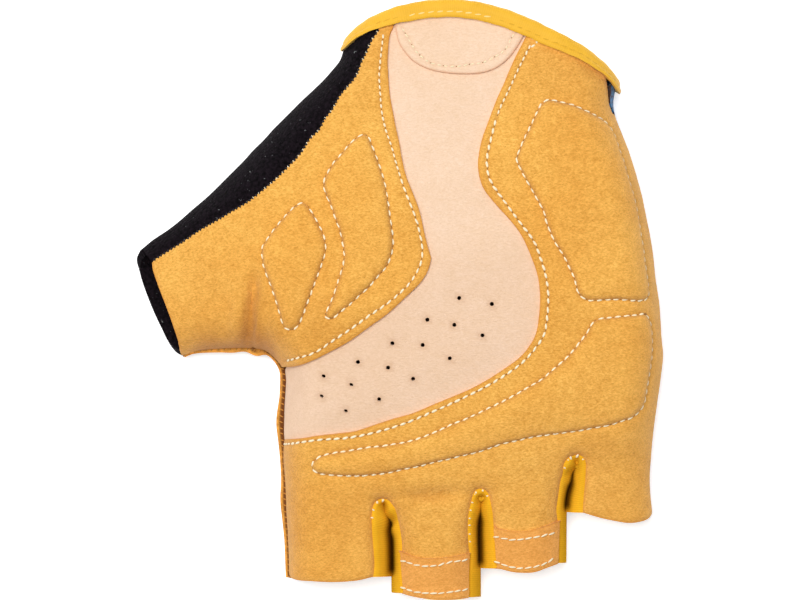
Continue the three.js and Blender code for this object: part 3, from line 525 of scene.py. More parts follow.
@dataclass
class SoftForm:
    """The mitt's whole soft shape, in millimetres, which every piece of it follows.

    A piece is laid out in an unrolled plan, where the rounded rims are spread out flat. surface()
    rolls it on to the form, and unrolled() goes the other way.
    """

    edge_height: float = 7.0
    edge_tilt: float = 0.02
    top_round: float = 9.0
    finger_round: float = 8.0
    crotch_round: float = 5.0
    crotch_rise: float = 0.35
    crotch_reach: float = 10.0
    back_round: float = 5.0
    fold_reach: float = 8.0
    slot_gap: float = 0.09
    arch_centre: float = 12.0
    arch_half_width: float = 50.0
    arch_drop: float = 0.1
    thumb_drop: float = 0.36
    cuff_lift: float = 1.8
    finger_slope: float = 0.06
    wave_height: float = 0.11

    def __post_init__(self) -> None:
        """Draws the closed edges, the three slots between the fingers, the cuff and the crown."""
        radial = ((-2, 86), (-6.5, 77), (-10.4, 70), (-12.2, 66.8), (-13.4, 64.4), *RADIAL_SIDE, (-80, 0.5))
        lower = ((-82, -15), (-60, -15), *LOWER_SIDE, (-27.8, -90))
        cuff_end = ((53.8, 52), (53.9, 54), (53.3, 56.5), (51, 61), (44, 74))
        ulnar = ((63.6, -90), (63.4, -60), *ULNAR_SIDE[:-1], *cuff_end)
        self.radial, self.lower, self.ulnar = (PlanLine(smooth(line)) for line in (radial, lower, ulnar))
        self.slots = [PlanLine(smooth(slot)) for slot in (SLOT_1, SLOT_2, SLOT_3)]
        self.cuff = PlanLine(smooth(CUFF_LINE, relax=40))
        rows = smooth(CROWN_ROWS, step=1.0, relax=6)
        self.crown_rows = rows[np.argsort(rows[:, 0])]

    def slot_rim(self, arc: Array) -> tuple[Array, Array]:
        """Rounds the rim along a slot between two fingers.

        Args:
            arc: Places along the slot, from the crotch on.

        Returns:
            The rim's rounding and its rise towards the crown.
        """
        share = smoothstep(arc, 0.0, self.crotch_reach)
        rounding = self.crotch_round + (self.finger_round - self.crotch_round) * share
        return rounding, self.crotch_rise * (1 - share)

    def nearest(self, spots: Array) -> Near:
        """Measures plan points against every closed edge.

        Args:
            spots: Plan points, one a row.

        Returns:
            Signed distance inside the nearest edge, the direction inwards, and the rounding there.
        """
        count = len(spots)
        near = Near(
            np.full(count, np.inf), np.zeros_like(spots), np.full(count, self.top_round), np.zeros(count)
        )
        for line in (self.radial, self.lower, self.ulnar, *self.slots):
            at = line.locate(spots)
            off = (spots - at.foot) / np.maximum(at.distance, 1e-9)[:, None]
            if line in self.slots:
                signed = at.distance - self.slot_gap * smoothstep(at.arc, 1.0, 8.0)
                rim = self.slot_rim(at.arc)
            else:
                signed, off = at.signed, off * at.side[:, None]
                rim = near.rounding, near.rise
            better = signed < near.distance
            near.distance = np.where(better, signed, near.distance)
            near.inward[better] = off[better]
            near.rounding = np.where(better, rim[0], near.rounding)
            near.rise = np.where(better, rim[1], near.rise)
        return near

    def rim_height(self, x: Array) -> Array:
        """Height of the rounded rim's widest line."""
        return self.edge_height + self.edge_tilt * x

    def lift(self, spots: Array) -> Array:
        """How far the cuff stands off the table."""
        return self.cuff_lift * (1 - smoothstep(self.cuff.locate(spots).distance, 7.0, 14.0))

    def crown(self, spots: Array) -> Array:
        """Height of the palm side before its rims are rounded.

        Args:
            spots: Plan points, one a row.

        Returns:
            The heights.
        """
        x, y = spots.T
        rows = np.interp(y, *self.crown_rows.T)
        arch = 1 - self.arch_drop * np.minimum(1.0, ((x - self.arch_centre) / self.arch_half_width) ** 2)
        thumb = 1 - self.thumb_drop * smoothstep(-x, 26.0, 68.0)
        palm = rows * arch * thumb - self.creases(x, y)
        finger = np.interp(x, *FINGER_CROWNS) + self.finger_slope * (y + 41)
        share = 1 - smoothstep(y - np.interp(x, *FINGER_ROOTS), -4.0, 7.0)
        dent = 1.3 * bell(y + 48.6 - 0.05 * (x - 8), 1.8) * bell(x - 9, 8.5)
        return palm + (finger - palm) * share + self.unevenness(x, y) - dent

    def creases(self, x: Array, y: Array) -> Array:
        """Depth of the folds across the thumb's base.

        Args:
            x: Places across the glove.
            y: Places along it.

        Returns:
            The depths.
        """
        depth = np.zeros_like(x)
        for at, low, high, deep, width in THUMB_FOLDS:
            inside = window(y, (low - 1, low + 3), (high - 6, high))
            depth += deep * inside * bell(x - at - 0.12 * (y + 5), width)
        return depth

    def unevenness(self, x: Array, y: Array) -> Array:
        """Slow waves that keep the soft faces from being perfectly smooth."""
        waves = np.sin(0.21 * x + 0.11 * y + 0.6) + np.sin(0.13 * x - 0.29 * y + 2.1)
        return self.wave_height * (waves + 0.7 * np.sin(0.37 * x + 0.31 * y + 4.0))

    def dusk(self, spots: Array) -> Array:
        """How much painted shade lies on the suede: in the thumb's folds, hollow and crease, along its lower
        seam, at the middle finger's root, and in patches of painted shade and light.

        Args:
            spots: Plan points, one a row.

        Returns:
            A share from 0 to 1 for each.
        """
        x, y = spots.T
        low = bell(self.lower.locate(spots).distance, 4.2) * window(x, (-54.0, -48.0), (-32.0, -27.0))
        fold = bell(x + 37.3 - 0.12 * (y + 5), 2.6) * (1 - smoothstep(y, -4.0, 7.0))
        hollow = bell(x + 33.5, 5.0) * bell(y + 9.0, 4.0)
        thumb = np.clip(0.85 * low + 0.6 * fold + 0.4 * hollow, 0.0, 1.0) * smoothstep(-x, 18.0, 24.0)
        crease = 0.45 * bell(x + 36.8, 0.45) * smoothstep(-y, 6.0, 8.5) * (x < -30)
        root = 0.4 * bell(y + 49.0, 1.2) * bell(x - 7.0, 5.5)
        tone = SHADE_BASE + sum(
            change * bell(x - at_x, reach_x) * bell(y - at_y, reach_y)
            for at_x, at_y, reach_x, reach_y, change in SHADE_PATCHES
        )
        return np.clip(thumb + crease + root + np.clip(tone, 0.0, 1.0), 0.0, 1.0)

    def surface(self, spots: Array, side: Side = Side.PALM) -> Array:
        """Rolls unrolled plan points on to the form.

        Args:
            spots: Unrolled plan points, one a row.
            side: The face that they are laid out on.

        Returns:
            The points in space, in millimetres.
        """
        near = self.nearest(spots)
        up, down = near.distance * side.value, near.distance * -side.value
        rounding = near.rounding if side is Side.PALM else np.full_like(up, self.top_round)
        reach = self.fold_reach if side is Side.PALM else self.back_round
        rising = np.clip(up / rounding, 0.0, 1.0) * math.pi / 2
        falling = np.clip(down / reach, 0.0, 1.0) * math.pi / 2
        above = np.where(up < rounding, rounding * (1 - np.cos(rising)), up)
        curled = self.back_round * (1 - np.cos(falling))
        below = np.where(down < reach, curled, down - reach + self.back_round)
        plan = spots + near.inward * (np.where(up >= 0, above, below) - near.distance)[:, None]
        rim, crown = self.rim_height(plan[:, 0]), self.crown(plan)
        base = rim + near.rise * (crown - rim)
        top = base + (crown - base) * np.sin(rising)
        under = rim - (rim - self.lift(plan)) * np.sin(falling)
        return np.column_stack([plan, np.where(up >= 0, top, under)])

    def unrolled(self, spots: Array, side: Side = Side.PALM) -> Array:
        """Lays plan points of the photograph's view out on the unrolled plan.

        Args:
            spots: Plan points, one a row.
            side: The face that they belong to.

        Returns:
            The unrolled plan points.
        """
        near = self.nearest(spots)
        rounding = near.rounding if side is Side.PALM else np.full_like(near.distance, self.back_round)
        inside = np.clip(near.distance, 0.0, rounding)
        spread = rounding * np.arccos(1 - inside / rounding) * 2 / math.pi
        moved = np.where(near.distance < rounding, spread - near.distance, 0.0)
        return spots + near.inward * moved[:, None]

    def drawn(self, points: Points | Array) -> Array:
        """Draws a smooth line through plan points and lays it out on the unrolled plan."""
        return self.unrolled(smooth(points))

    def normals(self, spots: Array, side: Side = Side.PALM) -> Array:
        """Outward directions of the form at unrolled plan points.

        Args:
            spots: Unrolled plan points, one a row.
            side: The face that they are laid out on.

        Returns:
            The directions.
        """
        here = self.surface(spots, side)
        east, north = (self.surface(spots + step, side) - here for step in ([0.15, 0], [0, 0.15]))
        return unit(np.cross(east, north) * side.value, TINY)


FORM = SoftForm()


class Nodes:
    """Adds shader nodes to one tree."""

    def __init__(self, tree: bpy.types.NodeTree) -> None:
        """Keeps the tree."""
        self.tree = tree

    def node(
        self, kind: str, inputs: dict[str | int, Value] | None = None, **settings: object
    ) -> bpy.types.Node:
        """Adds a node.

        Args:
            kind: The node's type.
            inputs: Values or output sockets by input name or number.
            settings: The node's own properties.

        Returns:
            The node.
        """
        made = self.tree.nodes.new(kind)
        for name, value in settings.items():
            setattr(made, name, value)
        for key, value in (inputs or {}).items():
            if isinstance(value, bpy.types.NodeSocket):
                self.tree.links.new(value, made.inputs[key])
            else:
                made.inputs[key].default_value = value
        return made

    def mix(self, factor: Value, a: Value, b: Value, blend: str = "MIX") -> Socket:
        """Mixes two colours."""
        inputs = {0: factor, 6: a, 7: b}
        return self.node("ShaderNodeMix", inputs, data_type="RGBA", blend_type=blend).outputs[2]

    def times(self, a: Value, b: Value) -> Socket:
        """Multiplies two colours."""
        return self.mix(1.0, a, b, "MULTIPLY")

    def maths(self, operation: str, a: Value, b: Value = 0.0, clamp: bool = False) -> Socket:
        """Adds a Math node."""
        return self.node("ShaderNodeMath", {0: a, 1: b}, operation=operation, use_clamp=clamp).outputs[0]

    def spread(self, value: Value, low: float, high: float) -> Socket:
        """Spreads a value between low and high over 0 to 1, clamped."""
        inputs = {0: value, 1: low, 2: high, 3: 0.0, 4: 1.0}
        return self.node("ShaderNodeMapRange", inputs, clamp=True).outputs[0]

    def noise(self, vector: Value, scale: Value, **inputs: float) -> Socket:
        """Adds a noise texture."""
        return self.node("ShaderNodeTexNoise", {"Vector": vector, "Scale": scale, **inputs}).outputs[0]

    def shade(self, name: str) -> Socket:
        """Reads a value that the mesh keeps at its points."""
        return self.node("ShaderNodeAttribute", attribute_name=name).outputs["Fac"]

    def effect(self, name: str, vector: Value, **inputs: Value) -> list[Socket]:
        """Places a shared group and gives its outputs."""
        made = self.node("ShaderNodeGroup", {"Vector": vector, **inputs}, node_tree=effect_group(name))
        return list(made.outputs)

    def cloud(self, where: Value, shade: Colour, tint: Colour, size: float, contrast: float) -> list[Socket]:
        """Gives a cloudy change between a shade and a tint, and its share."""
        return self.effect("mottle", where, Shade=shade, Tint=tint, Size=size, Contrast=contrast)


class Effects:
    """What is inside the node groups that several finishes share."""

    sockets = {
        "nap": (("Vector", "Fineness", "Stretch"), ("Value",)),
        "mottle": (("Vector", "Shade", "Tint", "Size", "Contrast"), ("Color", "Value")),
        "flecks": (("Vector", "Fineness", "Rarity"), ("Mask",)),
        "ribs": (("Vector", "Pitch"), ("Value",)),
    }
    kinds = {"Vector": "Vector", "Shade": "Color", "Tint": "Color", "Color": "Color"}

    @staticmethod
    def nap(nodes: Nodes, given: bpy.types.NodeOutputs) -> tuple[Socket, ...]:
        """Short lying fibres: a fine value that changes quickly across them and slowly along them.

        Args:
            nodes: The group's nodes.
            given: The group's inputs.

        Returns:
            The outputs.
        """
        x, y, z = nodes.node("ShaderNodeSeparateXYZ", {0: given["Vector"]}).outputs
        shorter = nodes.maths("DIVIDE", x, given["Stretch"])
        lying = nodes.node("ShaderNodeCombineXYZ", {0: shorter, 1: y, 2: z}).outputs[0]
        return (nodes.noise(lying, given["Fineness"], Detail=4.0, Roughness=0.62, Distortion=0.6),)

    @staticmethod
    def mottle(nodes: Nodes, given: bpy.types.NodeOutputs) -> tuple[Socket, ...]:
        """Cloudy change of one colour between a shade and a tint of it.

        Args:
            nodes: The group's nodes.
            given: The group's inputs.

        Returns:
            The outputs.
        """
        broad = nodes.noise(given["Vector"], given["Size"], Detail=5.0, Roughness=0.65)
        stretched = nodes.maths("MULTIPLY", nodes.maths("SUBTRACT", broad, 0.5), given["Contrast"])
        share = nodes.maths("ADD", stretched, 0.5, clamp=True)
        return nodes.mix(share, given["Shade"], given["Tint"]), share

    @staticmethod
    def flecks(nodes: Nodes, given: bpy.types.NodeOutputs) -> tuple[Socket, ...]:
        """Scattered small specks as a mask."""
        specks = nodes.noise(given["Vector"], given["Fineness"], Detail=2.0)
        return (nodes.maths("MULTIPLY", nodes.maths("SUBTRACT", specks, given["Rarity"]), 14.0, clamp=True),)

    @staticmethod
    def ribs(nodes: Nodes, given: bpy.types.NodeOutputs) -> tuple[Socket, ...]:
        """Fine ribs across a woven tape, from its own lengthwise coordinate.

        Args:
            nodes: The group's nodes.
            given: The group's inputs.

        Returns:
            The outputs.
        """
        along = nodes.node("ShaderNodeSeparateXYZ", {0: given["Vector"]}).outputs[0]
        shift = nodes.maths("MULTIPLY", nodes.noise(given["Vector"], 900.0, Detail=1.0), 1.6)
        angle = nodes.maths("MULTIPLY", nodes.maths("DIVIDE", along, given["Pitch"]), 2 * math.pi)
        wave = nodes.maths("SINE", nodes.maths("ADD", angle, shift))
        return (nodes.maths("ADD", nodes.maths("MULTIPLY", wave, 0.5), 0.5),)


@cache
def effect_group(name: str) -> bpy.types.NodeTree:
    """Builds a shared node group, the first time that it is asked for.

    Args:
        name: The effect's name.

    Returns:
        The group.
    """
    tree = bpy.data.node_groups.new(name, "ShaderNodeTree")
    inputs, outputs = Effects.sockets[name]
    for direction, labels in (("INPUT", inputs), ("OUTPUT", outputs)):
        for label in labels:
            kind = "NodeSocket" + Effects.kinds.get(label, "Float")
            tree.interface.new_socket(label, in_out=direction, socket_type=kind)
    given = tree.nodes.new("NodeGroupInput").outputs
    end = tree.nodes.new("NodeGroupOutput")
    for label, made in zip(outputs, getattr(Effects, name)(Nodes(tree), given)):
        tree.links.new(made, end.inputs[label])
    return tree


def linear(*channels: int) -> Colour:
    """Turns a display colour into the shader's linear one."""
    shares = (value / 255 for value in channels)
    return (*(s / 12.92 if s <= 0.04045 else ((s + 0.055) / 1.055) ** 2.4 for s in shares), 1.0)


@dataclass(frozen=True)
class Finish:
    """What every finish has: its slot, its colour, its plain values and its relief in metres."""

    name: str
    colour: tuple[int, int, int]
    slot: Slot | None = None
    roughness: float = 0.9
    sheen: float = 0.2
    bloom: tuple[float, float, float] = (1.0, 1.0, 1.0)
    shine: float = 0.2
    contrast: float = 1.0
    strength: float = 0.8
    depth: float = 0.0003
    inverted: bool = False

    def material(self) -> bpy.types.Material:
        """Builds the material from the plain values and from what this kind of finish paints.

        Returns:
            The material.
        """
        material = bpy.data.materials.new(self.name)
        material.use_nodes = True
        nodes = Nodes(material.node_tree)
        colour, height = self.paint(nodes, nodes.node("ShaderNodeTexCoord").outputs["Object"])
        relief = {"Strength": self.strength, "Distance": self.depth, "Height": height}
        bump = nodes.node("ShaderNodeBump", relief, invert=self.inverted).outputs[0]
        shader = material.node_tree.nodes["Principled BSDF"]
        shader.inputs["Roughness"].default_value = self.roughness
        shader.inputs["Sheen Weight"].default_value = self.sheen
        shader.inputs["Sheen Roughness"].default_value = 0.5
        shader.inputs["Sheen Tint"].default_value = (*self.bloom, 1.0)
        shader.inputs["Specular IOR Level"].default_value = self.shine
        nodes.tree.links.new(colour, shader.inputs["Base Color"])
        nodes.tree.links.new(bump, shader.inputs["Normal"])
        return material

    def paint(self, nodes: Nodes, where: Socket) -> tuple[Socket, Socket]:
        """Paints what is the finish's own; each kind of finish has its own version.

        Args:
            nodes: The material's nodes.
            where: The object's coordinates.

        Returns:
            The colour and the height.
        """
        raise NotImplementedError

    def scaled(self, factor: float, shift: tuple[float, float, float] = (1, 1, 1)) -> Colour:
        """A lighter or darker, warmer or cooler version of the finish's colour."""
        channels = zip(linear(*self.colour), shift)
        return (*(min(1.0, value * factor * change) for value, change in channels), 1.0)

    def toned(self, *channels: float) -> Colour:
        """A multiplier colour, drawn towards white where the finish has little contrast."""
        return (*(1 + (value - 1) * self.contrast for value in channels), 1.0)


@dataclass(frozen=True)
class Suede(Finish):
    """Split suede with a short nap: cloudy, fibrous, with darker flecks, painted shade in its stitch grooves
    and painted shade where the mesh keeps it.
    """

    fineness: float = 2900.0
    fleck: float = 0.68
    # Colour of the painted shade in the stitch grooves.
    groove: tuple[int, int, int] = (172, 112, 46)
    edge: tuple[int, int, int] = (214, 140, 52)
    patch_shade: Colour = (0.91, 0.87, 0.79, 1)
    patch_tint: Colour = (1.04, 1.05, 1.09, 1)
    fleck_tone: Colour = (0.66, 0.55, 0.42, 1)
    dusk_tone: Colour = (0.66, 0.53, 0.46, 1)

    def paint(self, nodes: Nodes, where: Socket) -> tuple[Socket, Socket]:
        """Paints the nap and its painted shade.

        Args:
            nodes: The material's nodes.
            where: The object's coordinates.

        Returns:
            The colour and the height.
        """
        contrast = 2.6 * self.contrast
        shade, tint = self.scaled(0.9, (1, 0.95, 0.84)), self.scaled(1.06, (1, 1.03, 1.1))
        broad, _ = nodes.cloud(where, shade, tint, 34.0, contrast)
        patches, patchy = nodes.cloud(where, self.patch_shade, self.patch_tint, 420.0, contrast)
        fibres = nodes.effect("nap", where, Fineness=self.fineness, Stretch=2.0)[0]
        colour = nodes.times(broad, patches)
        deep = nodes.times(colour, self.toned(0.78, 0.7, 0.56))
        bright = nodes.times(colour, self.toned(1.08, 1.13, 1.26))
        colour = nodes.mix(nodes.spread(fibres, 0.36, 0.64), deep, bright)
        specks = nodes.effect("flecks", where, Fineness=1900.0, Rarity=self.fleck)[0]
        dark = nodes.times(colour, self.fleck_tone)
        colour = nodes.mix(nodes.maths("MULTIPLY", specks, 0.75), colour, dark)
        # Painted shade where the form folds, turns away or lies in the shaded patches.
        colour = nodes.mix(nodes.shade("dusk"), colour, nodes.times(colour, self.dusk_tone))
        # Painted shade in the stitch grooves; the rim is the cut edge's own colour.
        for name, share, tone in (("groove", 0.4, self.groove), ("rim", 0.7, self.edge)):
            colour = nodes.mix(nodes.maths("MULTIPLY", nodes.shade(name), share), colour, linear(*tone))
        return colour, nodes.maths("ADD", fibres, nodes.maths("MULTIPLY", patchy, 0.5))


@dataclass(frozen=True)
class CutEdge(Finish):
    """The raw orange-brown edges of two layers of suede, rough and fibrous."""

    def paint(self, nodes: Nodes, where: Socket) -> tuple[Socket, Socket]:
        """Paints the fibres, with painted shade towards the seam.

        Args:
            nodes: The material's nodes.
            where: The object's coordinates.

        Returns:
            The colour and the height.
        """
        cloud, _ = nodes.cloud(where, self.scaled(0.66), self.scaled(1.2, (1, 1.08, 1.2)), 900.0, 3.0)
        colour = nodes.mix(nodes.shade("dusk"), cloud, self.scaled(0.18, (1, 0.7, 0.6)))
        return colour, nodes.effect("nap", where, Fineness=2600.0, Stretch=1.0)[0]


@dataclass(frozen=True)
class Elastic(Finish):
    """Ribbed yellow elastic, slightly glossy on its ribs; its UV map runs along the tape in metres."""

    pitch: float = 0.0006
    strength: float = 0.5
    depth: float = 0.00008

    def paint(self, nodes: Nodes, where: Socket) -> tuple[Socket, Socket]:
        """Paints the ribs, with painted shade in the folds.

        Args:
            nodes: The material's nodes.
            where: The object's coordinates.

        Returns:
            The colour and the height.
        """
        cloud, _ = nodes.cloud(where, self.scaled(0.9, (1, 0.96, 0.8)), self.scaled(1.05), 160.0, 1.6)
        tape = nodes.node("ShaderNodeUVMap", uv_map="tape").outputs[0]
        ribs = nodes.effect("ribs", tape, Pitch=self.pitch)[0]
        colour = nodes.mix(ribs, nodes.times(cloud, self.toned(0.84, 0.78, 0.6)), cloud)
        # Painted shade, darker and more orange, where the mesh keeps it.
        return nodes.mix(nodes.shade("dusk"), colour, self.scaled(0.12, (1, 0.7, 0.4))), ribs


@dataclass(frozen=True)
class Terry(Finish):
    """Matte black towelling with small loops and a little white lint."""

    lint: Colour = (0.17, 0.18, 0.18, 1)
    depth: float = 0.0005
    inverted: bool = True

    def paint(self, nodes: Nodes, where: Socket) -> tuple[Socket, Socket]:
        """Paints the loops and the lint.

        Args:
            nodes: The material's nodes.
            where: The object's coordinates.

        Returns:
            The colour and the height.
        """
        cloud, _ = nodes.cloud(where, self.scaled(0.25), self.scaled(2.3), 1100.0, 3.6)
        lint = nodes.effect("flecks", where, Fineness=1300.0, Rarity=0.71)[0]
        loops = nodes.node("ShaderNodeTexVoronoi", {"Vector": where, "Scale": 1500.0}, feature="SMOOTH_F1")
        return nodes.mix(lint, cloud, self.lint), loops.outputs[0]


@dataclass(frozen=True)
class Knit(Finish):
    """Blue jersey with navy specks and fine courses, with painted shade, brown-black, on the face inside the
    glove.
    """

    navy: Colour = (0.008, 0.014, 0.06, 1)
    inner: Colour = (0.05, 0.024, 0.014, 1)
    strength: float = 0.6
    inverted: bool = True

    def paint(self, nodes: Nodes, where: Socket) -> tuple[Socket, Socket]:
        """Paints the stitches, and the painted shade on the inner face.

        Args:
            nodes: The material's nodes.
            where: The object's coordinates.

        Returns:
            The colour and the height.
        """
        cloud, _ = nodes.cloud(where, self.scaled(0.8), self.scaled(1.15), 200.0, 1.5)
        cells = {"Vector": where, "Scale": 1100.0}
        stitches = nodes.node("ShaderNodeTexVoronoi", cells, feature="F1").outputs
        red = nodes.node("ShaderNodeSeparateColor", {0: stitches["Color"]}).outputs[0]
        colour = nodes.mix(nodes.spread(red, 0.62, 0.68), cloud, self.navy)
        # Faces that look up are inside the glove: they get painted shade.
        normal = nodes.node("ShaderNodeNewGeometry").outputs["True Normal"]
        upward = nodes.node("ShaderNodeSeparateXYZ", {0: normal}).outputs[2]
        return nodes.mix(nodes.spread(upward, 0.6, 0.9), colour, self.inner), stitches["Distance"]


@dataclass(frozen=True)
class Cotton(Finish):
    """Sewing thread with a fine twist."""

    contrast: float = 1.4
    strength: float = 0.4
    depth: float = 0.00012

    def paint(self, nodes: Nodes, where: Socket) -> tuple[Socket, Socket]:
        """Paints the twist."""
        cloud, _ = nodes.cloud(where, self.scaled(0.9), self.scaled(1.06), 1400.0, self.contrast)
        return cloud, nodes.effect("nap", where, Fineness=3800.0, Stretch=0.5)[0]


MUSTARD = Suede("mustard_suede", (253, 188, 88), Slot.MUSTARD, sheen=0.3, bloom=(1.0, 0.8, 0.55))
# The peach's groove colour is painted shade at the holes' rims and along the tab's stitches.
PEACH = Suede("peach_suede", (251, 218, 189), Slot.PEACH, sheen=0.25, bloom=(1.0, 0.9, 0.8), contrast=0.3,
              fleck=0.74, groove=(190, 140, 100), edge=(214, 150, 110))
TAN = Suede("tan_suede", (241, 170, 84), Slot.TAN, sheen=0.3, bloom=(1.0, 0.8, 0.55), contrast=0.8)
CUT_EDGE = CutEdge("cut_edge", (234, 160, 66), Slot.CUT_EDGE)
TAPE = Elastic("binding_elastic", (242, 187, 55), Slot.ELASTIC, roughness=0.6, sheen=0.1, pitch=0.00055,
               contrast=0.24)
WEB = Elastic("fourchette_elastic", (242, 182, 44), Slot.ELASTIC, roughness=0.5, sheen=0.0, shine=0.0,
              pitch=0.00048, contrast=0.6)
TOWELLING = Terry("black_terry", (15, 10, 14), Slot.TERRY, roughness=1.0, sheen=0.0, shine=0.1)
JERSEY = Knit("blue_knit", (31, 111, 168), Slot.KNIT)
THREAD = Cotton("cream_thread", (255, 239, 204), roughness=0.7, sheen=0.1)
# Painted shade: brown beads that stand for the dark needle holes between the stitches.
NEEDLE_HOLE_SHADE = Cotton("needle_hole", (158, 112, 62), roughness=1.0, sheen=0.0)
DARK_THREAD = Cotton("black_thread", (34, 30, 33), roughness=0.8, sheen=0.1)
PALE_GOLD_THREAD = Cotton("pale_gold_thread", (251, 222, 146), roughness=0.7, sheen=0.1)
GOLD_THREAD = Cotton("gold_thread", (222, 168, 44), roughness=0.7, sheen=0.1)
ORANGE_THREAD = Cotton("orange_thread", (196, 132, 52), roughness=0.8, sheen=0.1)


@cache
def dressed(finish: Finish) -> bpy.types.Material:
    """The finish's material, built the first time that it is asked for."""
    return finish.material()


def spots_of(bm: Mesh) -> Array:
    """The mesh's points as an array."""
    return np.array([v.co[:] for v in bm.verts])


def face_up(bm: Mesh, upward: float) -> None:
    """Turns every face over if the one that should look up looks down."""
    if upward < 0:
        bmesh.ops.reverse_faces(bm, faces=bm.faces)


def highest_face(bm: Mesh) -> bmesh.types.BMFace:
    """The face that lies highest."""
    return max(bm.faces, key=lambda face: face.calc_center_median().z)


def cut_patch(outline: Array, step: float) -> Mesh:
    """Cuts a flat piece out along its outline and divides it into a fine grid.

    Args:
        outline: The closed outline in the unrolled plan, without a repeated last point.
        step: Distance between the grid's lines.

    Returns:
        The flat mesh, facing up.
    """
    bm = bmesh.new()
    face = bm.faces.new([bm.verts.new((x, y, 0.0)) for x, y in outline.tolist()])
    face.normal_update()
    face_up(bm, face.normal.z)
    low, high = outline.min(axis=0), outline.max(axis=0)
    for axis in (0, 1):
        direction = Vector((1 - axis, axis, 0))
        for value in np.arange(low[axis] + step / 2, high[axis], step):
            bmesh.ops.bisect_plane(
                bm, geom=bm.verts[:] + bm.edges[:] + bm.faces[:], dist=0.001,
                plane_co=direction * float(value), plane_no=direction,
            )
    bmesh.ops.remove_doubles(bm, verts=bm.verts, dist=0.08)
    return bm


def refine(bm: Mesh, near: Distances, reach: float, longest: float) -> None:
    """Divides the long edges that lie close to some lines.

    Args:
        bm: The flat mesh.
        near: The lines.
        reach: How close an edge's middle has to be.
        longest: Edges shorter than this stay whole.
    """
    edges = bm.edges[:]
    close = near.to(np.array([((e.verts[0].co + e.verts[1].co) / 2)[:2] for e in edges])) < reach
    chosen = [e for e, c in zip(edges, close) if c and e.calc_length() > longest]
    bmesh.ops.subdivide_edges(bm, edges=chosen, cuts=1, use_grid_fill=True)


def roll(bm: Mesh, side: Side, offset: Array | float, wall: float) -> None:
    """Gives a flat piece its thickness and rolls it on to the form.

    Args:
        bm: The flat mesh in the unrolled plan.
        side: The face that it lies on.
        offset: How far outside the form's surface each point of its outer face lies.
        wall: Its thickness.
    """
    flat = spots_of(bm)[:, :2]
    normals = FORM.normals(flat, side)
    outer = FORM.surface(flat, side) + normals * np.reshape(offset, (-1, 1))
    inner = outer - normals * wall
    rows = {(round(x, 4), round(y, 4)): i for i, (x, y) in enumerate(flat.tolist())}
    raised = bmesh.ops.extrude_face_region(bm, geom=bm.faces[:], use_keep_orig=True)
    copies = {g for g in raised["geom"] if isinstance(g, bmesh.types.BMVert)}
    for vert in bm.verts:
        row = rows[(round(vert.co.x, 4), round(vert.co.y, 4))]
        vert.co = outer[row] if vert in copies else inner[row]
    bmesh.ops.recalc_face_normals(bm, faces=bm.faces)


def grid_sheet(
    across: int, along: int, place_at: Callable[[Array, Array], Array],
    size: tuple[float, float] | None = None,
) -> Mesh:
    """Makes a grid and puts every point where a function says.

    Args:
        across: Number of faces in the first direction.
        along: Number of faces in the second direction.
        place_at: Function of two arrays from 0 to 1 that returns the points.
        size: Real length and width in millimetres, to write the UV map "tape" in metres.

    Returns:
        The mesh.
    """
    bm = bmesh.new()
    bmesh.ops.create_grid(bm, x_segments=across, y_segments=along, size=0.5)
    shares = spots_of(bm)[:, :2] + 0.5
    for vert, point in zip(bm.verts, place_at(*shares.T).tolist()):
        vert.co = point
    bm.normal_update()
    if size:
        layer = bm.loops.layers.uv.new("tape")
        bm.verts.index_update()
        for loop in (loop for face in bm.faces for loop in face.loops):
            row, column = divmod(loop.vert.index, across + 1)
            loop[layer].uv = (column / across * size[0] * MM, row / along * size[1] * MM)
    return bm


def keep_shades(bm: Mesh, **shades: Array) -> None:
    """Keeps values from 0 to 1 at every point, for the material to read.

    Args:
        bm: The mesh.
        shades: The values by the name that the material reads them under.
    """
    for name, values in shades.items():
        layer = bm.verts.layers.float.new(name)
        for vert, value in zip(bm.verts, values.tolist()):
            vert[layer] = value


def make_piece(bm: Mesh, name: str, finish: Finish, wall: float = 0.0) -> bpy.types.Object:
    """Turns a mesh in millimetres into a finished piece in metres, on its CAD body.

    A piece with a slot stands for the CAD node of its name.

    Args:
        bm: The mesh; it is used up.
        name: The piece's name.
        finish: Its finish.
        wall: Thickness added inwards, 0 for none.

    Returns:
        The object.
    """
    bmesh.ops.scale(bm, vec=(MM, MM, MM), verts=bm.verts)
    mesh = bpy.data.meshes.new(name)
    bm.to_mesh(mesh)
    bm.free()
    piece = bpy.data.objects.new(name, mesh)
    bpy.context.scene.collection.objects.link(piece)
    mesh.materials.append(dressed(finish))
    if wall:
        shell = piece.modifiers.new("wall", "SOLIDIFY")
        shell.thickness = wall * MM
        shell.offset = -1.0
        shell.use_even_offset = False
        graph = bpy.context.evaluated_depsgraph_get()
        thick = bpy.data.meshes.new_from_object(piece.evaluated_get(graph))
        piece.modifiers.clear()
        piece.data = thick
        bpy.data.meshes.remove(mesh)
        mesh = thick
        mesh.name = name
    mesh.shade_smooth()
    mesh.set_sharp_from_angle(angle=math.radians(SHARP_ANGLE))
    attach(piece, "root")
    if finish.slot is not None:
        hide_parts(name)
    log.info("%s: %d faces", name, len(mesh.polygons))
    return piece


def laid_piece(
    bm: Mesh, name: str, finish: Finish, offset: Array | float, wall: float,
    side: Side = Side.PALM,
) -> None:
    """Rolls a piece cut flat along an outline on to the form and finishes it.

    Args:
        bm: The flat mesh in the unrolled plan.
        name: The piece's name.
        finish: Its finish.
        offset: How far outside the form's surface each point of its outer face lies.
        wall: Its thickness.
        side: The face that it lies on.
    """
    roll(bm, side, offset, wall)
    piece = make_piece(bm, name, finish)


def folded_piece(bm: Mesh, name: str, finish: Finish, length: float, wall: float) -> None:
    """Finishes a strip; the width that its area gives for its length is worked out but not used."""
    width = sum(face.calc_area() for face in bm.faces) / length
    make_piece(bm, name, finish, wall)


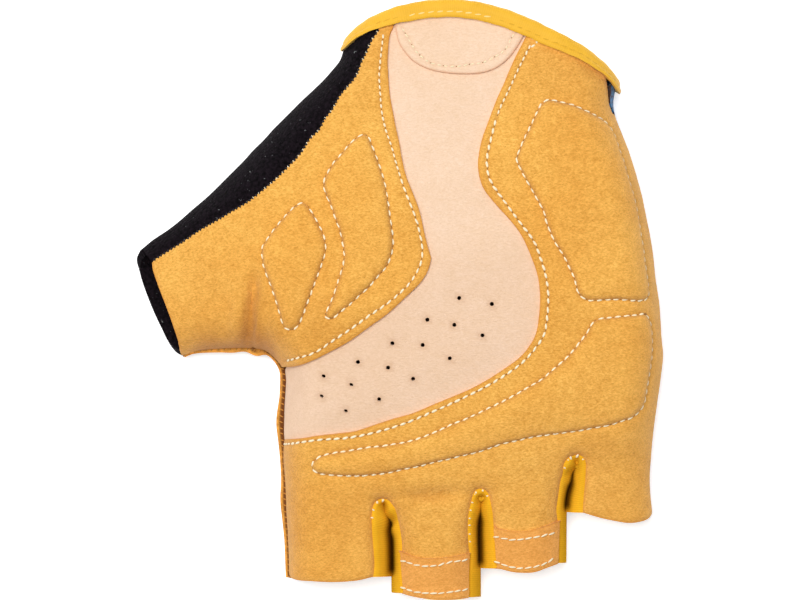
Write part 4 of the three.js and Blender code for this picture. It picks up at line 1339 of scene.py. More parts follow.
class Needlework:
    """Rows of stitches, each a small bead of thread, gathered into one piece."""

    def __init__(self, seed: int) -> None:
        """Starts an empty piece, with a seed for the small differences between its stitches."""
        self.bm = bmesh.new()
        self.random = random.Random(seed)

    def bead(self, start: Array, end: Array, up: Array, width: float, height: float) -> None:
        """Adds one stitch.

        Args:
            start: One end of it.
            end: The other end.
            up: Direction out of the cloth.
            width: Its width.
            height: Its thickness.
        """
        along = Vector((end - start).tolist()) / 2
        if along.length < 1e-6:
            return
        across = Vector(up.tolist()).cross(along).normalized()
        out = along.cross(across).normalized()
        matrix = Matrix((across * width / 2, out * height / 2, along)).transposed().to_4x4()
        matrix.translation = Vector(((start + end) / 2).tolist())
        bmesh.ops.create_uvsphere(self.bm, u_segments=7, v_segments=6, radius=1.0, matrix=matrix)

    def row(
        self, points: Array, normals: Array, pitch: float = 2.12, share: float = 0.74,
        width: float = 0.62, height: float = 0.48, sink: float = 0.0, start: float = 0.0,
    ) -> None:
        """Sews a row of running stitches along a line in space.

        Args:
            points: The line's points, close together.
            normals: Directions out of the cloth at them.
            pitch: Distance between stitches.
            share: Length of a stitch as a share of the pitch.
            width: Width of the thread.
            height: Thickness of the thread.
            sink: How deep the middle of the stitch lies.
            start: Where along the line the first stitch begins.
        """
        arc = arc_of(points)
        at = start
        while at + pitch * share <= arc[-1]:
            jitter = self.random.uniform(-0.12, 0.12)
            length = pitch * share * self.random.uniform(0.9, 1.06)
            spots = np.array([at + jitter, at + jitter + length, at + length / 2])
            first, last, centre = read_at(spots, arc, points)
            up = read_at(spots[2], arc, normals)
            middle = (centre - (first + last) / 2) - up * sink
            thick = self.random.uniform(0.9, 1.1)
            slant = np.cross(up, last - first) * self.random.uniform(0.02, 0.12)
            self.bead(first + middle - slant, last + middle + slant, up, width * thick, height * thick)
            at += pitch

    def bites(
        self, points: Array, normals: Array, pitch: float, length: float, width: float, lean: float = 0.15,
        start: float = 0.0,
    ) -> None:
        """Sews short stitches across a line, as where an edge is whipped over.

        Args:
            points: The line's points.
            normals: Directions out of the cloth at them.
            pitch: Distance between stitches.
            length: Length of each.
            width: Width of the thread.
            lean: How far each leans along the line, as a share of its length.
            start: Where along the line the first one is.
        """
        arc = arc_of(points)
        tangents = np.gradient(points, axis=0)
        at = start
        while at <= arc[-1]:
            spot = at + self.random.uniform(-0.15, 0.15)
            here, up, along = (read_at(spot, arc, values) for values in (points, normals, tangents))
            along /= np.linalg.norm(along) + TINY
            across = np.cross(up, along)
            half = (across + along * (lean + self.random.uniform(-0.15, 0.15))) * length / 2
            self.bead(here - half, here + half, up, width, width * 0.9)
            at += pitch

    def finish(self, name: str, finish: Finish) -> None:
        """Makes the stitches a piece."""
        make_piece(self.bm, name, finish)


def on_form(line: Points, layer: float, closed: bool = False) -> tuple[Array, Array]:
    """Lays a plan line of the photograph's view on the form's palm side.

    Args:
        line: The plan points.
        layer: How far outside the surface it lies.
        closed: Whether it closes on itself.

    Returns:
        The points in space and the outward directions there.
    """
    flat = resample(FORM.unrolled(smooth(line, 0.4, closed)), 0.4)
    normals = FORM.normals(flat)
    return FORM.surface(flat) + normals * layer, normals


def cuff_inset(distance: float, low: float, high: float) -> Array:
    """The cuff's line moved into the glove, from left to right between two places across it."""
    line = moved_aside(FORM.cuff.points, -distance)
    return line[(line[:, 0] > low) & (line[:, 0] < high)]


@dataclass
class Pad:
    """One foam pad under stitched suede."""

    name: str
    outline: Points
    crown: float
    pitch: float = 2.12
    share: float = 0.74
    thread: float = 0.62
    reach: float = 5.0
    wall: float = 0.8
    pucker: float = 0.34

    def flat_outline(self) -> Array:
        """Its closed stitch line in the unrolled plan, first point repeated."""
        return FORM.unrolled(smooth(self.outline, 0.5, closed=True))

    def build(self) -> None:
        """Builds the pad."""
        ring = self.flat_outline()
        bm = cut_patch(ring[:-1], 0.8)
        near = Distances(ring)
        refine(bm, near, 1.4, 0.45)
        flat = spots_of(bm)[:, :2]
        distance = near.to(flat)
        swell = self.crown * half_round(distance / self.reach) * 0.9
        # Painted shade in the groove along the pad's stitches.
        keep_shades(bm, groove=bell(distance, 0.4), dusk=FORM.dusk(flat))
        roll(bm, Side.PALM, swell - self.pucker * bell(distance, 0.55) + 0.02, self.wall)
        make_piece(bm, self.name, MUSTARD)


PADS = (
    Pad("thenar_short_pad", PAD_A, 1.3, pitch=2.4, share=0.6, thread=0.58),
    Pad("thenar_long_pad", PAD_B, 1.4, pitch=2.4, share=0.64, thread=0.58),
    Pad("heel_pad", PAD_C, 1.6),
    Pad("palm_pad", PAD_D, 1.6),
)


@dataclass
class PalmSuede:
    """The palm side's suede: two mustard overlays, their pads, the peach centre below and the tabs."""

    wall: float = 1.2
    step: float = 0.85
    lap: float = 2.5
    centre_depth: float = 1.3
    seam_depth: float = 0.45
    groove_depth: float = 0.36
    rim_depth: float = 0.4
    pad_hollow: float = 0.65
    hole_radius: float = 0.54
    squashed: float = 0.4
    squashed_left_of: float = -12.0
    squash_angle: float = 28.0
    tab_wall: float = 0.9
    tab_step: float = 0.6

    def overlay(
        self, name: str, outline: Array, rims: list[Array], seams: list[Array], pads: tuple[Pad, ...]
    ) -> None:
        """Builds one mustard overlay with grooves at its seams and hollows under its pads.

        Args:
            name: The CAD node that it stands for.
            outline: Its unrolled outline.
            rims: Unrolled lines along its free cut edges.
            seams: Unrolled stitch lines, pads apart.
            pads: The pads sewn on it.
        """
        bm = cut_patch(outline, self.step)
        rings = [pad.flat_outline() for pad in pads]
        refine(bm, Distances(*seams, *rings, *rims), 1.3, 0.5)
        flat = spots_of(bm)[:, :2]
        seam, rim = Distances(*seams, *rings).to(flat), Distances(*rims).to(flat)
        offset = -self.groove_depth * bell(seam, 0.6) - self.rim_depth * bell(rim, 0.55)
        for ring in rings:
            hollow = self.pad_hollow * smoothstep(Distances(ring).to(flat), 0.0, 1.0)
            offset -= np.where(points_inside(flat, ring), hollow, 0.0)
        # Painted shade in the grooves along the seams and round the pads.
        keep_shades(bm, groove=bell(seam, 0.42), rim=bell(rim, 0.35), dusk=FORM.dusk(flat))
        laid_piece(bm, name, MUSTARD, offset, self.wall)

    def thenar_panel(self) -> None:
        """The overlay over the thumb's base and the palm side of the thumb."""
        edge = FORM.drawn(THENAR_LINE)
        lower = FORM.drawn([p for p in LOWER_SIDE if p[1] > -17.2][::-1])
        mouth = FORM.drawn(THUMB_PALM_EDGE[::-1])
        terry = FORM.unrolled(smooth(TERRY_LINE)[::-1])
        outline = np.vstack([edge, lower[1:], mouth[1:], terry[1:]])
        # The crease is laid out like a seam, so it gets a groove and its painted shade.
        seams = [FORM.drawn(THENAR_STITCHES), FORM.drawn(THUMB_CREASE)]
        self.overlay("thenar_panel", outline, [edge, mouth], seams, PADS[:2])

    def finger_panel(self) -> None:
        """The overlay over the heel of the hand, the little-finger side and all four fingers."""
        edge = FORM.drawn(HEEL_LINE)
        index = FORM.drawn([p for p in LOWER_SIDE if p[1] < -35.5])
        little_end = [p for p in LITTLE_END if p[0] > 45.2]
        lines = (INDEX_END, CROTCH_1, MIDDLE_END, CROTCH_2, RING_END, CROTCH_3, little_end)
        tips = FORM.unrolled(np.vstack([smooth(line)[min(i, 1) :] for i, line in enumerate(lines)]))
        side = part_of(FORM.ulnar.points, -53.6, 46.4)
        fold = moved_aside(side, -3.5 * (1 - smoothstep(side[:, 1], 39.0, 46.4)))
        corner = FORM.drawn(CORNER_SUEDE)
        cuff = FORM.unrolled(cuff_inset(1.5, 34.0, 51.0)[::-1])
        outline = np.vstack([edge, index[1:], tips[1:], fold[1:], corner[1:], cuff])
        self.overlay("finger_panel", outline, [edge, tips, corner], [FORM.drawn(HEEL_STITCHES)], PADS[2:])

    def palm_centre(self) -> None:
        """The perforated peach layer that runs under both overlays."""
        left = moved_aside(smooth(THENAR_LINE), -self.lap)
        left = left[left[:, 1] > -18.0]
        right = moved_aside(smooth(HEEL_LINE), self.lap)[::-1]
        seam = part_of(FORM.lower.points, -36.8, -19.0)
        outline = FORM.unrolled(np.vstack([left, seam, right, cuff_inset(1.5, -4.0, 35.0)[::-1]]))
        bm = cut_patch(outline, self.step)
        rings = self.punch(bm)
        flat = spots_of(bm)[:, :2]
        holes = Distances(*rings).to(flat)
        open_seam = window(flat[:, 1], (-37.0, -35.2), (-17.8, -16.4))
        open_seam *= 1 - smoothstep(FORM.lower.locate(flat).distance, 0.5, 4.5)
        depth = self.centre_depth - (self.centre_depth - self.seam_depth) * open_seam
        # Painted shade on the peach, deeper towards the fingers, and painted shade at the rims of the holes.
        dusk = 0.03 + 0.13 * (1 - smoothstep(flat[:, 1], 0.0, 24.0))
        keep_shades(bm, groove=0.9 * bell(holes, 0.14), dusk=dusk)
        laid_piece(bm, "palm_centre", PEACH, -depth - 0.05 * bell(holes, 0.3), self.wall)

    def punch(self, bm: Mesh) -> list[Array]:
        """Punches the breathing holes in the flat peach layer.

        Args:
            bm: The flat mesh.

        Returns:
            The holes' rings.
        """
        rings = []
        turned = Matrix.Rotation(math.radians(self.squash_angle), 2)
        for x, y in HOLES:
            centre = Vector((x, y, 0))
            hub = min(bm.verts, key=lambda v: (v.co - centre).length)
            rim = {v for face in hub.link_faces for v in face.verts} - {hub}
            bmesh.ops.delete(bm, geom=[hub], context="VERTS")
            squash = self.squashed if x < self.squashed_left_of else self.hole_radius
            for vert in rim:
                way = turned @ (vert.co - centre).to_2d().normalized()
                spot = turned.inverted() @ Vector((way.x * self.hole_radius, way.y * squash))
                vert.co = centre + spot.to_3d()
            ring = sorted((v.co.to_2d() for v in rim), key=lambda spot: math.atan2(spot.y - y, spot.x - x))
            rings.append(np.array([*ring, ring[0]]))
        return rings

    def wrist_tab(self) -> None:
        """The half-moon patch at the cuff, left bare."""
        edge = FORM.drawn(((-1.9, 71.0), *TAB_EDGE, (32.6, 69.2)))
        outline = np.vstack([edge, FORM.unrolled(cuff_inset(1.7, -1.0, 32.0)[::-1])])
        stitches = FORM.drawn(TAB_STITCHES)
        bm = cut_patch(outline, self.tab_step)
        refine(bm, Distances(edge, stitches), 0.9, 0.35)
        flat = spots_of(bm)[:, :2]
        rim, seam = Distances(edge).to(flat), Distances(stitches).to(flat)
        # Painted shade in the groove along the tab's stitches.
        keep_shades(bm, groove=0.5 * bell(seam, 0.35), rim=bell(rim, 0.25))
        offset = -0.3 - 0.22 * bell(seam, 0.5) - 0.25 * bell(rim, 0.4)
        laid_piece(bm, "wrist_tab", PEACH, offset, self.tab_wall)

    def pull_tab(self, name: str, band: Points, end: Points, left: Points, right: Points) -> None:
        """Builds one pull tab, a band of suede round a fingertip.

        Args:
            name: The CAD node that it stands for.
            band: Its upper edge.
            end: The fingertip's edge.
            left: Points of its left side.
            right: Points of its right side.
        """
        top, bottom = smooth(band), smooth(end)[::-1]
        outline = FORM.unrolled(np.vstack([top, smooth(right)[1:], bottom[1:], smooth(left)[1:-1]]))
        bm = cut_patch(outline, self.tab_step)
        rims = Distances(FORM.unrolled(top), FORM.unrolled(bottom))
        refine(bm, rims, 0.9, 0.4)
        rim = rims.to(spots_of(bm)[:, :2])
        keep_shades(bm, rim=bell(rim, 0.22))
        laid_piece(bm, name, TAN, 0.8 - 0.25 * bell(rim, 0.5), self.tab_wall)

    def build(self) -> None:
        """Builds every suede piece of the palm side."""
        self.palm_centre()
        self.thenar_panel()
        self.finger_panel()
        self.wrist_tab()
        for pad in PADS:
            pad.build()
        self.pull_tab("middle_pull_tab", BAND_M, MIDDLE_END, BAND_M_LEFT, BAND_M_RIGHT)
        self.pull_tab("ring_pull_tab", BAND_R, RING_END, BAND_R_LEFT, BAND_R_RIGHT)


@dataclass
class Fourchette:
    """The ribbed elastic wall that folds down between two fingers.

    Each fold is its place along the edge, its width, where it starts and ends down the wall, and its depth.
    """

    name: str
    edge: Points
    slot: PlanLine
    folds: tuple[tuple[float, ...], ...]
    under: float = 78.0
    tuck: float = 1.4
    wall: float = 0.9
    gap: float = -0.38
    knit_clearance: float = 1.35
    width: float = 24.0
    rows: int = 30

    def build(self) -> tuple[Array, Array]:
        """Builds the piece.

        Returns:
            Its edge's points in space and the outward directions, for the stitches.
        """
        edge = smooth(self.edge, 0.5)
        at = self.slot.locate(edge)
        gap = self.gap - 0.3 * (1 - smoothstep(at.arc, 3.0, 7.0))
        rounding, rise = FORM.slot_rim(at.arc)
        inward = (edge - at.foot) / at.distance[:, None]
        opening = np.arccos(1 - np.clip(at.distance - gap, 0.01, rounding) / rounding)
        arc = arc_of(edge)
        whole = np.linspace(0, 1, len(edge))

        def place_at(u: Array, v: Array) -> Array:
            """Places the wall: from under the suede, over the rim and down to the back.

            Args:
                u: Shares along the slot.
                v: Shares down the wall.

            Returns:
                The points.
            """
            foot, n, w, g, up, start, along = (
                read_at(u, whole, values) for values in (at.foot, inward, rounding, gap, rise, opening, arc)
            )
            n = unit(n)
            t = v * 2
            rising = np.clip((start + self.tuck / w) * (1 - t), 0, math.pi / 2)
            falling = np.clip(t - 1, 0, 1) * math.radians(self.under)
            above = t <= 1
            inside = np.where(above, w * (1 - np.cos(rising)), FORM.back_round * (1 - np.cos(falling))) + g
            plan = foot + n * inside[:, None]
            rim, crown = FORM.rim_height(plan[:, 0]), FORM.crown(plan)
            base = rim + up * (crown - rim)
            z = np.where(above, base + (crown - base) * np.sin(rising), base * (1 - np.sin(falling)) + 0.5)
            out_z = np.where(above, np.sin(rising), -np.sin(falling))
            out_n = np.where(above, -np.cos(rising), -np.cos(falling))
            lower = 1.25 * (1 - smoothstep(start - rising, -self.tuck / 8, 0.1)) + 0.12
            bulge = -lower - self.knit_clearance * smoothstep(t, 1.4, 1.52)
            for place_along, spread, top, bottom, depth in self.folds:
                inside_fold = window(t, (top - 0.1, top + 0.1), (bottom - 0.1, bottom + 0.1))
                bulge = bulge + depth * inside_fold * bell(along - place_along - (t - top) * 1.5, spread)
            return np.column_stack([plan + n * (out_n * bulge)[:, None], z + out_z * bulge])

        across = int(arc[-1] / 0.45)
        bm = grid_sheet(across, self.rows, place_at, (arc[-1], self.width))
        over_head = Vector((*edge[len(edge) // 2], 20))
        face_up(bm, min(bm.faces, key=lambda f: (f.calc_center_median() - over_head).length).normal.z)
        spots = spots_of(bm)[:, :2]
        y = spots[:, 1]
        # Painted shade down the slot between the two walls, only where the neighbouring wall stands beside
        # it, and a spot of painted shade at the crotch.
        shut = max(edge[0][1], edge[-1][1])
        beside = 0.1 + 0.9 * smoothstep(y, shut - 0.5, shut + 2.0)
        deep = np.repeat(np.linspace(0, 2, self.rows + 1), across + 1)
        deep += 0.2 * smoothstep(edge[:, 1].max() - y, 3.0, 8.0)
        root = np.linalg.norm(spots - self.slot.points[0] - [0.0, -0.5], axis=1)
        keep_shades(bm, dusk=np.maximum(beside * smoothstep(deep, 0.56, 0.86), 0.3 * bell(root, 1.1)))
        folded_piece(bm, self.name, WEB, float(arc[-1]), self.wall)
        flat = FORM.unrolled(edge)
        normals = FORM.normals(flat)
        return FORM.surface(flat) - normals * 0.3, normals


@dataclass
class Back:
    """The knitted back of the hand and fingers, and the towelling along the thumb's back."""

    wall: float = 1.2
    step: float = 1.1
    terry_wall: float = 1.8
    terry_length: float = 92.0
    terry_sink: float = 0.7
    terry_grid: tuple[int, int] = (240, 90)

    def back_panel(self) -> None:
        """The blue knit, flat under the hand and wrapped up to the seams."""
        side = part_of(FORM.ulnar.points, -53.0, 54.0)[::-1]
        ulnar = moved_aside(side, -np.interp(side[:, 1], *KNIT_CLIMB))
        outline = [FORM.unrolled(cuff_inset(2.2, -8.6, 51.0), Side.BACK), ulnar]
        offset = FORM.slot_gap + KNIT_REACH
        turn = np.linspace(0, math.pi, 9)[1:-1]
        for slot, (right_end, left_end) in zip(FORM.slots[::-1], KNIT_ENDS):
            right, left = moved_aside(slot.points, offset), moved_aside(slot.points, -offset)
            top = slot.points[0] + offset * np.stack([np.cos(turn), np.sin(turn)], 1)
            outline += [right[right[:, 1] > right_end][::-1], top, left[left[:, 1] > left_end]]
        outline.append(moved_aside(part_of(FORM.lower.points, -69.0, -18.5)[::-1], -0.3))
        outline.append(part_of(smooth(BACK_SEAM), -16.5, 64.0))
        ring = np.vstack(outline)
        laid_piece(cut_patch(ring, self.step), "back_panel", JERSEY, 0.0, self.wall, Side.BACK)

    def thumb_terry(self) -> None:
        """The black towelling: a strip on top, the rolled edge, and the underside of the thumb."""
        edge = smooth(TERRY_LINE)
        at = FORM.radial.locate(edge)
        inward = (edge - at.foot) / at.distance[:, None]
        opening = np.arccos(1 - np.clip(at.distance / FORM.top_round, 0, 1))
        rest = np.clip(at.distance - FORM.top_round, 0, None)
        lower = FORM.lower.points
        lower = lower[(lower[:, 1] > -17.2) & (lower[:, 0] > -54.4) & (lower[:, 0] < -29.2)][::-1]
        seam = resample(np.vstack([smooth(BACK_SEAM)[::-1], lower]), 0.5)
        mouth = resample(smooth(THUMB_BACK_EDGE), 0.4)
        heading = np.gradient(FORM.radial.points, axis=0)[-40]
        heading /= np.linalg.norm(heading)
        deep = FORM.radial.locate(mouth).signed
        first = int(np.argmax(deep > FORM.back_round))
        free = mouth[first:]
        depths, slide = deep[: first + 1], (mouth[: first + 1] - mouth[0]) @ heading
        whole, seam_whole, free_whole = (np.linspace(0, 1, len(line)) for line in (edge, seam, free))

        def place_at(u: Array, v: Array) -> Array:
            """Places the towelling: the strip, the roll and the underside.

            Args:
                u: Shares along the seam.
                v: Shares across the towelling.

            Returns:
                The points.
            """
            t = v * 3
            foot, n, flat, wide = (read_at(u, whole, values) for values in (at.foot, inward, rest, opening))
            n = unit(n)
            rising = wide * (1 - np.clip(t, 0, 1))
            falling = np.clip(t - 1, 0, 1) * math.pi / 2
            above = t <= 1
            on_top = FORM.top_round * (1 - np.cos(rising)) + flat * (1 - np.clip(t / 0.4, 0, 1))
            inside = np.where(above, on_top, FORM.back_round * (1 - np.cos(falling)))
            tail = smoothstep(u, 0.86, 1.0)
            shift = np.where(above, 0.0, np.interp(inside, depths, slide)) * tail
            plan = foot + n * inside[:, None] + heading * shift[:, None]
            rim, crown = FORM.rim_height(plan[:, 0]), FORM.crown(plan)
            top = rim + (crown - rim) * np.sin(rising)
            z = np.where(above, top, rim - (rim - FORM.lift(plan)) * np.sin(falling))
            out_n = np.where(above, -np.cos(rising), -np.cos(falling))
            out = np.column_stack([n * out_n[:, None], np.where(above, np.sin(rising), -np.sin(falling))])
            sunk = np.where(above, self.terry_sink * (1 - np.clip(t / 0.25, 0, 1)), 0.0)
            points = np.column_stack([plan, z]) - out * sunk[:, None]
            share = np.clip(t - 2, 0, 1)
            turn = np.interp(FORM.back_round, depths, slide) * tail
            start = foot + n * FORM.back_round + heading * turn[:, None]
            straight = start + (read_at(u, seam_whole, seam) - start) * share[:, None]
            plain = free[0] + (free[-1] - free[0]) * share[:, None]
            under = straight + (read_at(share, free_whole, free) - plain) * tail[:, None]
            inset = np.clip(FORM.nearest(under).distance, 0, None)
            rim = FORM.rim_height(under[:, 0])
            z = rim - (rim - FORM.lift(under)) * half_round(inset / FORM.back_round)
            return np.where((t > 2)[:, None], np.column_stack([under, z]), points)

        bm = grid_sheet(*self.terry_grid, place_at)
        cuff = FORM.cuff.locate(spots_of(bm)[:, :2])
        outside = (cuff.signed > -2.0) & (cuff.distance < 12.0)
        beyond = [vert for vert, out in zip(bm.verts, outside) if out]
        bmesh.ops.delete(bm, geom=beyond, context="VERTS")
        bmesh.ops.remove_doubles(bm, verts=bm.verts, dist=0.01)
        face_up(bm, highest_face(bm).normal.z)
        folded_piece(bm, "thumb_terry", TOWELLING, self.terry_length, self.terry_wall)

    def build(self) -> None:
        """Builds both pieces."""
        self.back_panel()
        self.thumb_terry()


@dataclass
class Cuff:
    """The elastic tape folded over the cuff's edge, all the way round."""

    leg: float = 3.9
    lip: float = 0.75
    inside: float = 3.9
    wall: float = 0.9
    width: float = 13.0
    count: int = 420

    def loop(self) -> tuple[Array, Array]:
        """The cuff's edge round the form.

        Returns:
            Its points in space and the directions out of the form.
        """
        line = moved_aside(smooth(CUFF_LINE[:-1], relax=40), -self.lip)
        line = line[FORM.nearest(line).distance > 0.02]
        top = resample(FORM.unrolled(line), 0.6)
        low = resample(FORM.unrolled(line, Side.BACK), 0.6)[::-1]
        rows = np.hstack([
            np.vstack([FORM.surface(top), FORM.surface(low, Side.BACK)]),
            np.vstack([FORM.normals(top), FORM.normals(low, Side.BACK)]),
        ])
        rows = np.vstack([rows, rows[:1]])
        arc = arc_of(rows[:, :3])
        rows = read_at(np.linspace(0, arc[-1], self.count + 1), arc, rows)
        for _ in range(8):
            rows = evened(rows, closed=True)
        return rows[:, :3], unit(rows[:, 3:])

    def build(self) -> tuple[Array, Array, Array]:
        """Builds the tape.

        Returns:
            The loop, the directions out of the form and the directions towards the cuff's edge.
        """
        points, out = self.loop()
        along = np.gradient(points, axis=0)
        along[0] = along[-1] = points[1] - points[-2]
        along = unit(along)
        edgewise = unit(np.cross(out, along))
        out = np.cross(along, edgewise)
        outer_leg = ((-self.leg, 0.7), (-self.leg + 0.4, 1.05))
        inner_leg = ((-2.0, -self.inside), (-self.leg, -self.inside))
        lip = ((self.lip, -0.3), (self.lip + 0.05, -1.4))
        section = smooth((*outer_leg, *TAPE_TOP, *lip, *TAPE_UNDER, *inner_leg), step=0.3, relax=1)
        whole, section_whole = np.linspace(0, 1, len(points)), np.linspace(0, 1, len(section))

        def place_at(u: Array, v: Array) -> Array:
            """Places the tape's outer face.

            Args:
                u: Shares round the cuff.
                v: Shares along the tape's section.

            Returns:
                The points.
            """
            reach, rise = read_at(v, section_whole, section).T
            wave = 0.04 * np.sin(u * 2 * math.pi * 23) + 0.03 * np.sin(u * 2 * math.pi * 41 + 1)
            foot, to_edge, up = (read_at(u, whole, values) for values in (points, edgewise, out))
            return foot + to_edge * (reach + wave)[:, None] + up * (rise + wave * 0.5)[:, None]

        length = float(arc_of(points)[-1])
        bm = grid_sheet(self.count, len(section) - 1, place_at, (length, self.width))
        bmesh.ops.remove_doubles(bm, verts=bm.verts, dist=0.005)
        face_up(bm, highest_face(bm).normal.z)
        folded_piece(bm, "wrist_binding", TAPE, length, self.wall)
        return points, out, edgewise


@dataclass
class SeamFins:
    """The seam allowances that stand out along the thumb's lower seam and the index side."""

    thickness: float = 1.3
    least: float = 0.25
    tuck: float = 0.9
    rows: int = 8

    def fin(self, name: str, inner: Array, outer: Array, seed: float) -> tuple[Array, Array]:
        """Builds one wavy fin of two raw layers.

        Args:
            name: The CAD node that it stands for.
            inner: The seam's line in plan.
            outer: The fin's free edge in plan.
            seed: Phase of its waves.

        Returns:
            The middle line on its upper face and the directions out of it.
        """
        count = int(arc_of(inner)[-1] / 0.4)
        whole, outer_whole = np.linspace(0, 1, len(inner)), np.linspace(0, 1, len(outer))
        side = moved_aside(inner, -1.0) - inner

        def place_at(u: Array, v: Array) -> Array:
            """Places one side of the fin.

            Args:
                u: Shares along the seam.
                v: Shares out from it.

            Returns:
                The points.
            """
            foot, heading = read_at(u, whole, inner), read_at(u, whole, side)
            width = np.linalg.norm(read_at(u, outer_whole, outer) - foot, axis=1)
            plan = foot + heading * (np.maximum(width, self.least) * v - self.tuck * (1 - v))[:, None]
            wave = 0.3 * np.sin(u * count * 0.11 + seed) + 0.15 * np.sin(u * count * 0.27 + 2 * seed)
            return np.column_stack([plan, FORM.rim_height(plan[:, 0]) + 0.2 + wave * v - 0.3 * v * v])

        bm = grid_sheet(count, self.rows, place_at)
        share = np.repeat(np.linspace(0, 1, self.rows + 1), count + 1)
        x = spots_of(bm)[:, 0]
        # Painted shade where the fin tucks under the suede: on the thumb's fin only past its crease, with a
        # spot at the crease.
        shaded = smoothstep(x, -35.5, -33.0) + bell(x + 36.6, 0.7)
        keep_shades(bm, dusk=shaded * (1 - smoothstep(share, 0.55, 0.85)))
        face_up(bm, sum(f.normal.z for f in bm.faces))
        make_piece(bm, name, CUT_EDGE, self.thickness)
        line = place_at(np.linspace(0, 1, count), np.full(count, 0.5)) + [0, 0, 0.1]
        return line, np.tile([0.0, 0.0, 1.0], (count, 1))

    def build(self) -> list[tuple[Array, Array]]:
        """Builds both fins and returns their middle lines."""
        seam = FORM.lower.points
        thumb = seam[(seam[:, 0] > -54.4) & (seam[:, 1] > -24.9)]
        return [
            self.fin("thumb_seam_allowance", thumb, smooth(THUMB_SILHOUETTE), 0.7),
            self.fin("index_seam_allowance", part_of(seam, -69.5, -24.2), smooth(INDEX_SILHOUETTE), 1.9),
        ]


@dataclass
class Stitching:
    """Every visible seam's thread."""

    mustard_layer: float = -0.22

    def palm_rows(self) -> None:
        """The running stitches on the mustard suede, with beads of painted shade for the needle holes between
        them.
        """
        rows, holes = Needlework(11), Needlework(12)
        lines = [
            (THENAR_STITCHES[:9], False, 1.6, 0.7, 0.48),
            (THENAR_STITCHES[8:], False, 2.12, 0.72, 0.56),
            (HEEL_STITCHES[:7], False, 1.65, 0.7, 0.48),
            (HEEL_STITCHES[6:], False, 2.12, 0.74, 0.62),
            *((pad.outline, True, pad.pitch, pad.share, pad.thread) for pad in PADS),
        ]
        for line, closed, pitch, share, width in lines:
            points, normals = on_form(line, self.mustard_layer, closed)
            rows.row(points, normals, pitch, share, width, height=width * 0.78)
            holes.row(
                points, normals, pitch, share=0.22, width=0.34, height=0.2, start=pitch * 0.75, sink=0.08
            )
        for spot, layer, width, height in (
            (((-37.4, -12.2), (-36.1, -12.3)), 0.1, 0.5, 0.5),
            (((60.7, -3.5), (61.4, -3.5)), 0.0, 0.6, 0.4),
        ):
            knot, upwards = on_form(spot, layer)
            holes.bead(knot[0], knot[-1], upwards[0], width, height)
        rows.row(*on_form(((32.8, 65), (34.3, 65.2), (33.6, 63.4), (32.2, 63)), 0.0), pitch=1.5)
        rows.finish("palm_stitches", THREAD)
        holes.finish("palm_needle_holes", NEEDLE_HOLE_SHADE)

    def tab_rows(self) -> None:
        """The half-moon tab's and the pull tabs' stitches."""
        rows, holes = Needlework(21), Needlework(22)
        tab = on_form(TAB_STITCHES, -0.5)
        rows.row(*tab, pitch=1.65, share=0.66, width=0.38)
        # Beads of painted shade for the needle holes.
        holes.row(*tab, pitch=3.3, share=0.12, width=0.3, height=0.2, start=3.3 * 0.42)
        for line in (BAND_M_UPPER, BAND_M_LOWER, BAND_R_UPPER, BAND_R_LOWER):
            rows.row(*on_form(line, 1.0), pitch=2.05, share=0.9, width=0.46)
        rows.finish("tab_stitches", THREAD)
        holes.finish("tab_needle_holes", NEEDLE_HOLE_SHADE)

    def crotch_bites(self, edges: list[tuple[Array, Array]]) -> None:
        """The small whip stitches round the fourchettes.

        Args:
            edges: Each fourchette's edge in space and the outward directions.
        """
        work = Needlework(31)
        for (points, normals), reach in zip(edges, (5.5, 13.5, 4.5)):
            top = points[np.argmax(points[:, 1])]
            away = np.linalg.norm(points - top, axis=1)
            left = points[:, 0] < top[0]
            raised = points + normals * 0.3
            for chosen, pitch, length, width in (
                (away < 1.7, 1.6, 1.3, 0.7),
                ((away > 1.7) & (away < reach) & left, 2.05, 0.8, 0.42),
                ((away > 1.7) & (away < 3.2) & ~left, 2.05, 0.8, 0.42),
            ):
                if chosen.sum() > 1:
                    work.bites(raised[chosen], normals[chosen], pitch, length, width)
        work.finish("fourchette_stitches", THREAD)

    def terry_bites(self) -> None:
        """The serrated black overcasting and the white bites along the towelling's edge."""
        points, normals = on_form(((-4.9, 69), *TERRY_EDGE), 0.0)
        black, white = Needlework(41), Needlework(42)
        black.bites(points, normals, pitch=1.0, length=0.68, width=0.6)
        upper = points[:, 1] > 24
        points, normals = points[upper], normals[upper]
        white.bites(points + normals * 0.1, normals, pitch=1.95, length=0.55, width=0.26, start=0.5)
        black.finish("towelling_overcast", DARK_THREAD)
        white.finish("towelling_stitches", THREAD)

    def cuff_row(self, loop: tuple[Array, Array, Array]) -> None:
        """The stitches along the cuff's tape.

        Args:
            loop: The cuff's loop and its two directions.
        """
        points, out, edgewise = loop
        line = points - edgewise * 2.5 + out * 1.0
        pale = (line[:, 0] > 2) & (line[:, 0] < 25) & (out[:, 2] > 0)
        first, last = np.flatnonzero(pale)[[0, -1]]
        cream, gold = Needlework(51), Needlework(52)
        cream.row(line[first:last], out[first:last], pitch=2.35, share=0.7, width=0.38, height=0.26)
        for part in (slice(0, first), slice(last, None)):
            gold.row(line[part], out[part], pitch=2.35, share=0.7, width=0.34, height=0.14)
        cream.finish("binding_stitches", PALE_GOLD_THREAD)
        gold.finish("binding_dark_stitches", GOLD_THREAD)

    def fin_bites(self, fins: list[tuple[Array, Array]]) -> None:
        """The whipped stitches over the raw seam edges.

        Args:
            fins: The fins' middle lines and the directions out of them.
        """
        work = Needlework(61)
        for points, normals in fins:
            work.bites(points, normals, pitch=1.5, length=0.9, width=0.35, lean=0.5)
        work.finish("seam_edge_stitches", ORANGE_THREAD)


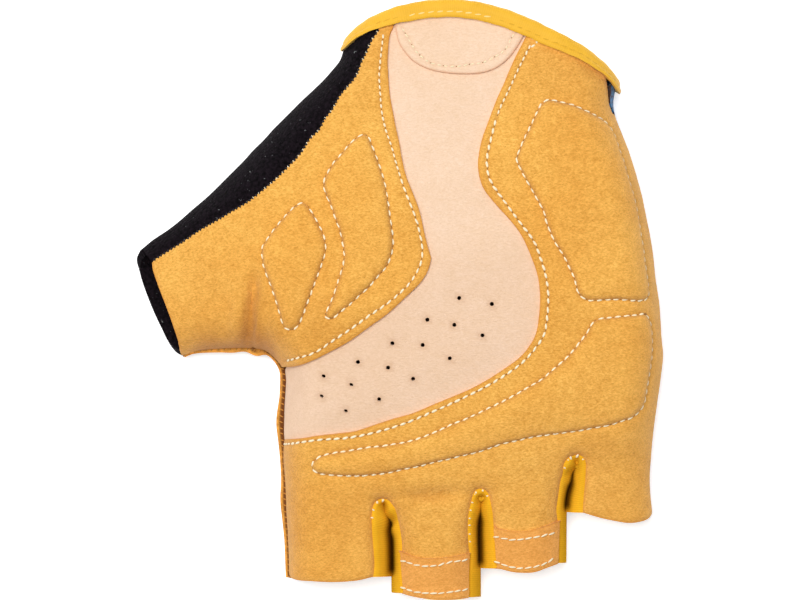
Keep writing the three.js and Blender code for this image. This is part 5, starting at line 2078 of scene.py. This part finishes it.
@dataclass
class Studio:
    """The pale floor, soft lights and the camera straight above."""

    distance: float = 2.0
    frame_width: float = 0.2
    sensor: float = 36.0
    plane: float = 0.01
    floor_drop: float = 0.0003

    def build(self) -> None:
        """Builds the studio."""
        self.floor()
        self.light("softbox", (-0.2, 0.24, 1.5), 0.8, 22.6)
        self.light("fill", (-0.6, 0.8, 1.2), 1.4, 3.0)
        world = bpy.data.worlds.new("studio")
        world.use_nodes = True
        world.node_tree.nodes["Background"].inputs[0].default_value = (1, 1, 1, 1)
        world.node_tree.nodes["Background"].inputs[1].default_value = 0.18
        bpy.context.scene.world = world
        bpy.context.scene.view_settings.view_transform = "Standard"
        self.camera()

    def floor(self) -> None:
        """Adds the white floor, lit a little by itself."""
        bm = bmesh.new()
        bmesh.ops.create_grid(bm, x_segments=1, y_segments=1, size=2.0)
        bmesh.ops.translate(bm, verts=bm.verts, vec=(0.0, 0.0, -self.floor_drop))
        mesh = bpy.data.meshes.new("floor")
        bm.to_mesh(mesh)
        bm.free()
        floor = bpy.data.objects.new("floor", mesh)
        bpy.context.scene.collection.objects.link(floor)
        material = bpy.data.materials.new("white_sweep")
        material.use_nodes = True
        shader = material.node_tree.nodes["Principled BSDF"]
        shader.inputs["Base Color"].default_value = (0.95, 0.95, 0.95, 1)
        shader.inputs["Roughness"].default_value = 1.0
        shader.inputs["Specular IOR Level"].default_value = 0.0
        shader.inputs["Emission Color"].default_value = (1, 1, 1, 1)
        shader.inputs["Emission Strength"].default_value = 0.55
        mesh.materials.append(material)

    def light(self, name: str, spot: tuple[float, float, float], size: float, power: float) -> None:
        """Adds a square softbox that looks at the mitt.

        Args:
            name: The light's name.
            spot: Where it stands, in metres.
            size: Its side.
            power: Its power in watts.
        """
        data = bpy.data.lights.new(name, "AREA")
        data.size = size
        data.energy = power
        lamp = bpy.data.objects.new(name, data)
        lamp.location = spot
        lamp.rotation_euler = (-Vector(spot)).to_track_quat("-Z", "Y").to_euler()
        bpy.context.scene.collection.objects.link(lamp)

    def camera(self) -> None:
        """Adds the camera that sees the photograph's frame from straight above."""
        data = bpy.data.cameras.new("camera")
        data.sensor_width = self.sensor
        data.lens = self.sensor * (self.distance - self.plane) / self.frame_width
        data.clip_end = 10.0
        camera = bpy.data.objects.new("camera", data)
        camera.location = (0.0, 0.0, self.distance)
        bpy.context.scene.collection.objects.link(camera)
        bpy.context.scene.camera = camera


def main() -> None:
    """Builds the mitt and its studio, piece by piece."""
    Studio().build()
    PalmSuede().build()
    names = ("index_middle_fourchette", "middle_ring_fourchette", "ring_little_fourchette")
    walls = zip(names, (CROTCH_1, CROTCH_2, CROTCH_3), FORM.slots, FOLDS)
    edges = [Fourchette(name, edge, slot, folds).build() for name, edge, slot, folds in walls]
    Back().build()
    loop = Cuff().build()
    fins = SeamFins().build()
    stitching = Stitching()
    stitching.palm_rows()
    stitching.tab_rows()
    stitching.crotch_bites(edges)
    stitching.terry_bites()
    stitching.cuff_row(loop)
    stitching.fin_bites(fins)


if __name__ == "__main__":
    logging.basicConfig(level=logging.INFO, format="%(message)s")
    main()
